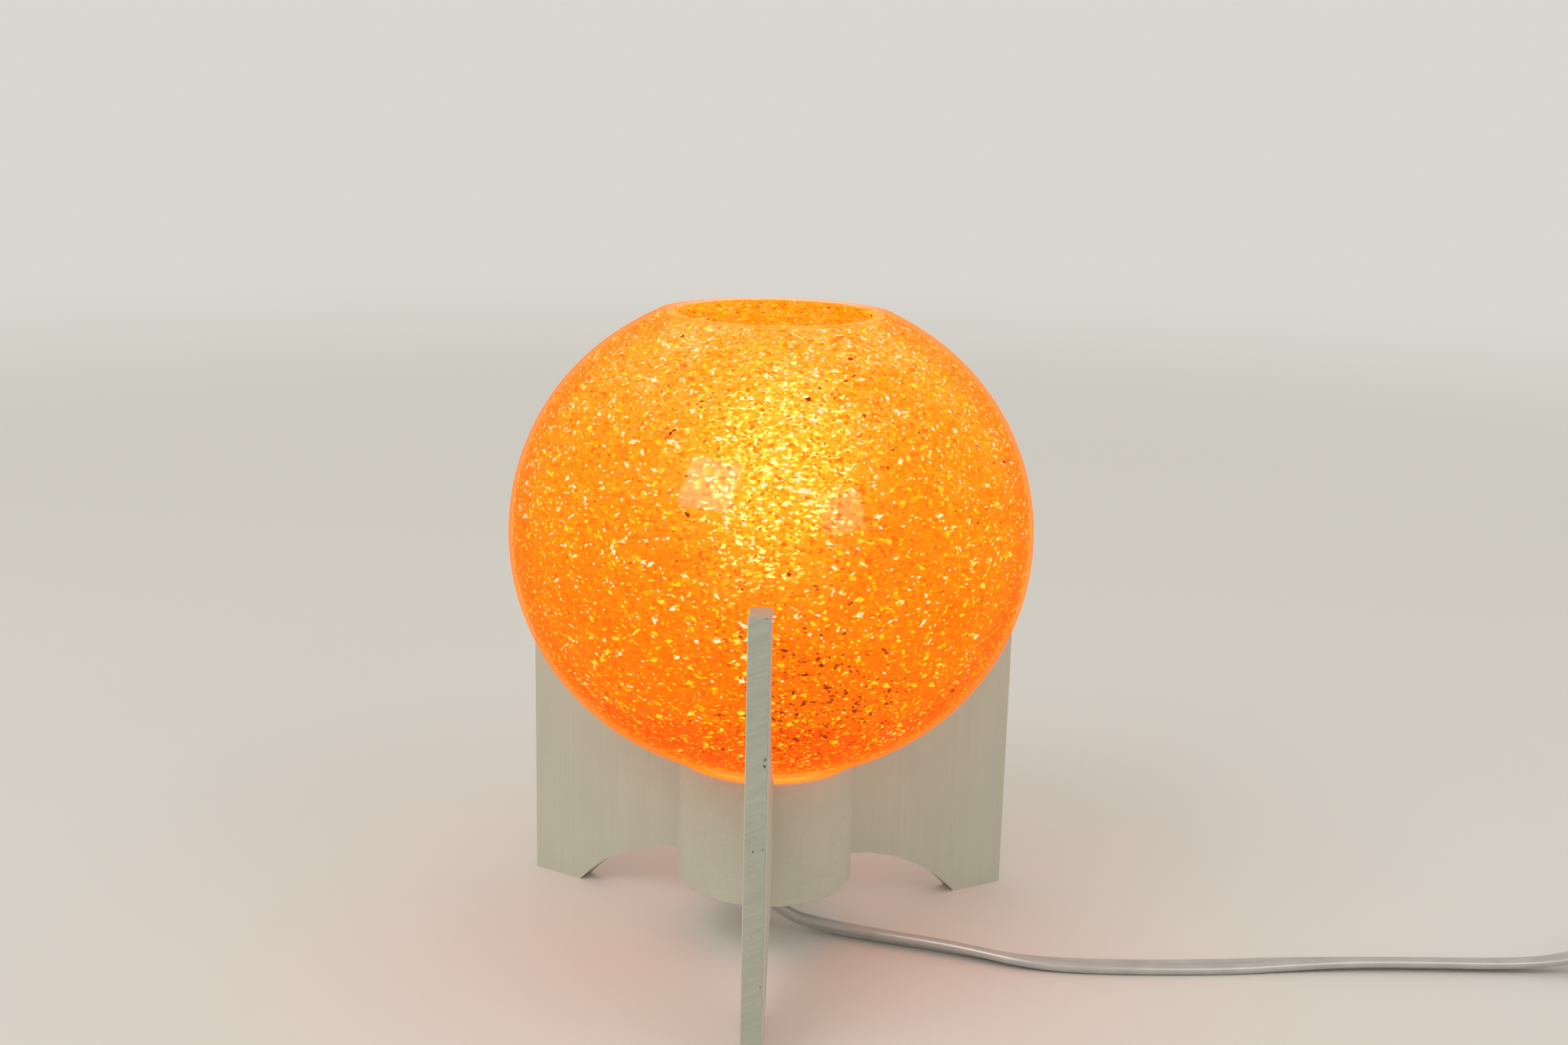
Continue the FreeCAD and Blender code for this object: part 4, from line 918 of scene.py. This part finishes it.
def brushedPaint(name, turn):
    # satin oil paint brushed on plywood: pale grey-green, with faint streaks along the grain, slanting
    # strokes across the edges, painted shade that darkens the edges, a dark line along one corner of
    # them, and small pits there where the core has voids. turn is the fin's, in degrees
    look = paintLook
    material, tree = startMaterial(name)
    coordinates = addNode(tree, "ShaderNodeTexCoord").outputs
    spin = (0, 0, math.radians(turn))
    place = addNode(tree, "ShaderNodeMapping", {
        "Vector": coordinates["Object"], "Rotation": spin}).outputs["Vector"]
    facing = addNode(tree, "ShaderNodeMapping", {
        "Vector": coordinates["Normal"], "Rotation": spin}).outputs["Vector"]
    side = addNode(tree, "ShaderNodeSeparateXYZ", {"Vector": facing}).outputs["X"]
    side = addNode(tree, "ShaderNodeMath", {0: side}, operation="ABSOLUTE").outputs["Value"]
    onEdge = addNode(tree, "ShaderNodeMath", {0: side, 1: 0.5}, operation="LESS_THAN").outputs["Value"]

    along = addNode(tree, "ShaderNodeMapping", {
        "Vector": place, "Scale": (1, 1, look["brush"] / look["streak"])})
    slant = addNode(tree, "ShaderNodeMapping", {
        "Vector": place, "Rotation": (0, math.radians(look["slope"]), 0),
        "Scale": (1, 1, look["stroke"] / look["brush"])}, vector_type="TEXTURE")
    brushed = addNode(tree, "ShaderNodeMix", {
        "Factor": onEdge, 4: along.outputs["Vector"], 5: slant.outputs["Vector"]}, data_type="VECTOR")
    marks = addNode(tree, "ShaderNodeTexNoise", {
        "Vector": brushed.outputs[1], "Scale": perMetre(look["brush"]), "Detail": 3.0,
        "Roughness": 0.55}).outputs["Fac"]
    patch = addNode(tree, "ShaderNodeTexNoise", {
        "Vector": place, "Scale": perMetre(look["patch"]), "Detail": 2.0})
    both = addNode(tree, "ShaderNodeMath", {0: marks, 1: patch.outputs["Fac"]}, operation="ADD")
    half = addNode(tree, "ShaderNodeMath", {0: both.outputs["Value"], 1: 0.5}, operation="MULTIPLY")
    tint = addNode(tree, "ShaderNodeValToRGB", {"Fac": half.outputs["Value"]}, stops=[
        (0.3, look["deep"]), (0.68, look["pale"])])
    # painted shade: the edge faces are drawn darker, varied by the brush strokes
    stroke = addNode(tree, "ShaderNodeMapRange", {
        "Value": marks, "From Min": 0.35, "From Max": 0.65, "To Min": look["edge"] - 0.04,
        "To Max": look["edge"] + 0.03})
    paintedEdgeShade = addNode(tree, "ShaderNodeMix", {
        "Factor": onEdge, 2: 1.0, 3: stroke.outputs["Result"]}, data_type="FLOAT")
    tint = addNode(tree, "ShaderNodeVectorMath", {0: tint.outputs["Color"], 3: paintedEdgeShade.outputs[0]},
                   operation="SCALE")

    # voids: a few ragged cells, more of them near one face of the ply and low down
    ragged = addNode(tree, "ShaderNodeTexNoise", {"Vector": place, "Scale": perMetre(look["ragged"])})
    frayed = addNode(tree, "ShaderNodeVectorMath", {
        0: ragged.outputs["Color"], 1: (look["fray"],) * 3, 2: place}, operation="MULTIPLY_ADD")
    tall = addNode(tree, "ShaderNodeMapping", {
        "Vector": frayed.outputs["Vector"], "Scale": (1, 1, look["tall"])})
    cell = addNode(tree, "ShaderNodeTexVoronoi", {
        "Vector": tall.outputs["Vector"], "Scale": perMetre(look["void"])})
    pick = addNode(tree, "ShaderNodeSeparateColor", {"Color": cell.outputs["Color"]})
    where = addNode(tree, "ShaderNodeSeparateXYZ", {"Vector": place}).outputs
    heap = addNode(tree, "ShaderNodeTexNoise", {"Vector": place, "Scale": perMetre(look["heap"])})
    rare = addNode(tree, "ShaderNodeMapRange", {
        "Value": heap.outputs["Fac"], "From Min": 0.4, "From Max": 0.6, "To Min": 1.0, "To Max": 0.72})
    beside = addNode(tree, "ShaderNodeMapRange", {
        "Value": where["X"], "From Min": -look["corner"], "From Max": look["corner"],
        "To Min": 0.14, "To Max": -0.1})
    higher = addNode(tree, "ShaderNodeMapRange", {
        "Value": where["Z"], "From Min": look["low"], "From Max": look["high"],
        "To Min": 0.0, "To Max": 0.12})
    least = rare.outputs["Result"]
    for part in (beside, higher):
        least = addNode(tree, "ShaderNodeMath", {0: least, 1: part.outputs["Result"]},
                        operation="ADD").outputs["Value"]
    chosen = addNode(tree, "ShaderNodeMath", {0: pick.outputs["Red"], 1: least},
                     operation="GREATER_THAN")
    near = addNode(tree, "ShaderNodeMapRange", {
        "Value": cell.outputs["Distance"], "From Min": 0.27, "From Max": 0.19})
    pit = addNode(tree, "ShaderNodeMath", {0: chosen.outputs["Value"], 1: near.outputs["Result"]},
                  operation="MULTIPLY")

    # and a dark line in streaks along one corner of the edge
    corner = addNode(tree, "ShaderNodeMapRange", {
        "Value": where["X"], "From Min": look["corner"] - 0.5 * mm,
        "From Max": look["corner"] - 0.2 * mm})
    cornerStreaks = addNode(tree, "ShaderNodeMapRange", {
        "Value": marks, "From Min": 0.42, "From Max": 0.6, "To Min": 0.0, "To Max": 0.55})
    darkCornerLine = addNode(tree, "ShaderNodeMath", {0: corner.outputs["Result"], 1: cornerStreaks.outputs["Result"]},
                   operation="MULTIPLY")
    either = addNode(tree, "ShaderNodeMath", {0: pit.outputs["Value"], 1: darkCornerLine.outputs["Value"]},
                     operation="MAXIMUM")
    # the pits, and the dark line along one corner
    bare = addNode(tree, "ShaderNodeMath", {0: either.outputs["Value"], 1: onEdge},
                   operation="MULTIPLY").outputs["Value"]

    color = addNode(tree, "ShaderNodeMix", {
        "Factor": bare, 6: tint.outputs["Vector"], 7: hexColor(look["hollow"])}, data_type="RGBA")
    depth = addNode(tree, "ShaderNodeMath", {0: marks, 1: bare}, operation="SUBTRACT")
    rough = addNode(tree, "ShaderNodeMapRange", {"Value": onEdge, "To Min": 0.28, "To Max": 0.9})
    relief = addNode(tree, "ShaderNodeBump", {
        "Strength": rough.outputs["Result"], "Distance": 0.14 * mm, "Height": depth.outputs["Value"]})
    shader = addNode(tree, "ShaderNodeBsdfPrincipled", {
        "Base Color": color.outputs[2], "Roughness": 0.5, "Normal": relief.outputs["Normal"]})
    addNode(tree, "ShaderNodeOutputMaterial", {"Surface": shader.outputs["BSDF"]})
    return material


def stippledPaint():
    # the same paint dabbed on turned wood: tiny soft bumps close together
    look = paintLook
    material, tree = startMaterial("stippled paint on turned wood")
    place = addNode(tree, "ShaderNodeTexCoord").outputs["Object"]
    dab = addNode(tree, "ShaderNodeTexNoise", {
        "Vector": place, "Scale": perMetre(look["dab"]), "Detail": 2.0})
    patch = addNode(tree, "ShaderNodeTexNoise", {
        "Vector": place, "Scale": perMetre(look["dabPatch"]), "Detail": 2.0})
    both = addNode(tree, "ShaderNodeMath", {0: dab.outputs["Fac"], 1: patch.outputs["Fac"]},
                   operation="ADD")
    half = addNode(tree, "ShaderNodeMath", {0: both.outputs["Value"], 1: 0.5}, operation="MULTIPLY")
    tint = addNode(tree, "ShaderNodeValToRGB", {"Fac": half.outputs["Value"]}, stops=[
        (0.32, look["deep"]), (0.66, look["pale"])])
    relief = addNode(tree, "ShaderNodeBump", {
        "Strength": 0.3, "Distance": 0.15 * mm, "Height": dab.outputs["Fac"]})
    shader = addNode(tree, "ShaderNodeBsdfPrincipled", {
        "Base Color": tint.outputs["Color"], "Roughness": 0.52, "Normal": relief.outputs["Normal"]})
    addNode(tree, "ShaderNodeOutputMaterial", {"Surface": shader.outputs["BSDF"]})
    return material


def dressNodes():
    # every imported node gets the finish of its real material
    vinyl = cordVinyl()
    dress = {"base_cylinder": stippledPaint(), "bulb_glass": bulbGlass(), "inner_cord": vinyl,
             "lead_wires": vinyl}
    for side, turn in (("front", 0), ("right", -120), ("left", 120)):
        dress["fin_" + side] = brushedPaint("brushed paint on plywood, " + side, turn)
    for name, look in fittingLooks.items():
        finish = plainFinish(name)
        for node in look["pieces"]:
            dress[node] = finish
    for node, finish in dress.items():
        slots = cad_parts[node].data.materials
        slots.clear()
        slots.append(finish)
    print("dressed", len(dress), "nodes")


# Stage and light

stageLook = {
    "floor": "#d9d6cf",
    "reach": 12.0,
    "near": 0.5,                # distances between which the floor turns into the plain backdrop
    "far": 1.9,
    "air": "#f3f2ee",
    "ambient": 0.85,
}


def seenRay(tree):
    # one for what the camera sees, straight, mirrored or through glass
    ray = addNode(tree, "ShaderNodeLightPath").outputs
    seen = ray["Is Camera Ray"]
    for kind in ("Is Glossy Ray", "Is Transmission Ray"):
        seen = addNode(tree, "ShaderNodeMath", {0: seen, 1: ray[kind]},
                       operation="MAXIMUM").outputs["Value"]
    return seen


def addStage():
    look = stageLook
    mesh = bpy.data.meshes.new("floor")
    far = look["reach"]
    corners = [(-far, -far, 0), (far, -far, 0), (far, far, 0), (-far, far, 0)]
    mesh.from_pydata(corners, [], [(0, 1, 2, 3)])
    floor = bpy.data.objects.new("floor", mesh)
    scene.collection.objects.link(floor)
    # matt up close, where it takes the lamp's shadow; farther off it turns into the plain backdrop
    material, tree = startMaterial("plain pale floor")
    matt = addNode(tree, "ShaderNodeBsdfPrincipled", {
        "Base Color": hexColor(look["floor"]), "Roughness": 0.8, "Specular IOR Level": 0.2})
    glow = addNode(tree, "ShaderNodeEmission", {"Color": hexColor(look["floor"])})
    place = addNode(tree, "ShaderNodeTexCoord").outputs["Object"]
    away = addNode(tree, "ShaderNodeVectorMath", {0: place}, operation="LENGTH")
    fade = addNode(tree, "ShaderNodeMapRange", {
        "Value": away.outputs["Value"], "From Min": look["near"], "From Max": look["far"]},
        interpolation_type="SMOOTHERSTEP")
    share = addNode(tree, "ShaderNodeMath", {0: fade.outputs["Result"], 1: seenRay(tree)},
                    operation="MULTIPLY")
    mixed = addNode(tree, "ShaderNodeMixShader", {
        "Fac": share.outputs["Value"], 1: matt.outputs["BSDF"], 2: glow.outputs["Emission"]})
    addNode(tree, "ShaderNodeOutputMaterial", {"Surface": mixed.outputs["Shader"]})
    mesh.materials.append(material)


def addWorld():
    world = bpy.data.worlds.new("studio")
    scene.world = world
    world.use_nodes = True
    tree = world.node_tree
    tree.nodes.clear()
    light = addNode(tree, "ShaderNodeBackground", {
        "Color": hexColor(stageLook["air"]), "Strength": stageLook["ambient"]})
    wall = addNode(tree, "ShaderNodeBackground", {
        "Color": hexColor(stageLook["floor"]), "Strength": 1.0})
    mixed = addNode(tree, "ShaderNodeMixShader", {
        "Fac": seenRay(tree), 1: light.outputs["Background"], 2: wall.outputs["Background"]})
    addNode(tree, "ShaderNodeOutputWorld", {"Surface": mixed.outputs["Shader"]})


softBoxes = {
    "key": {"place": (-0.9, -1.0, 1.4), "aim": (0, 0, 0.08), "size": 1.0, "power": 8.0},
    "fill": {"place": (1.2, -0.8, 1.1), "aim": (0, 0, 0.08), "size": 1.0, "power": 3.0},
    "leftShine": {"place": (-0.581, -1.068, 0.953), "aim": (0, 0, 0.15), "size": 0.58, "power": 30.0,
                  "shine": True},
    "rightShine": {"place": (0.727, -1.136, 0.716), "aim": (0, 0, 0.15), "size": 0.45, "power": 11.0,
                   "shine": True},
}


def addLight(name, place, aim, size, power, shine=False):
    # with shine it shows only as a reflection in glossy things
    data = bpy.data.lights.new(name, "AREA")
    data.shape = "SQUARE"
    data.size = size
    data.energy = power
    light = bpy.data.objects.new(name, data)
    light.location = place
    light.rotation_euler = (Vector(aim) - Vector(place)).to_track_quat("-Z", "Y").to_euler()
    light.visible_diffuse = not shine
    light.visible_glossy = shine
    scene.collection.objects.link(light)


addCamera()
makeCord()
makeSkin()
makeLining()
makeGrains()
dressNodes()
addStage()
addWorld()
for box, look in softBoxes.items():
    addLight(box, **look)
print("lit:", len(softBoxes), "soft boxes")

scene.view_settings.view_transform = "Standard"
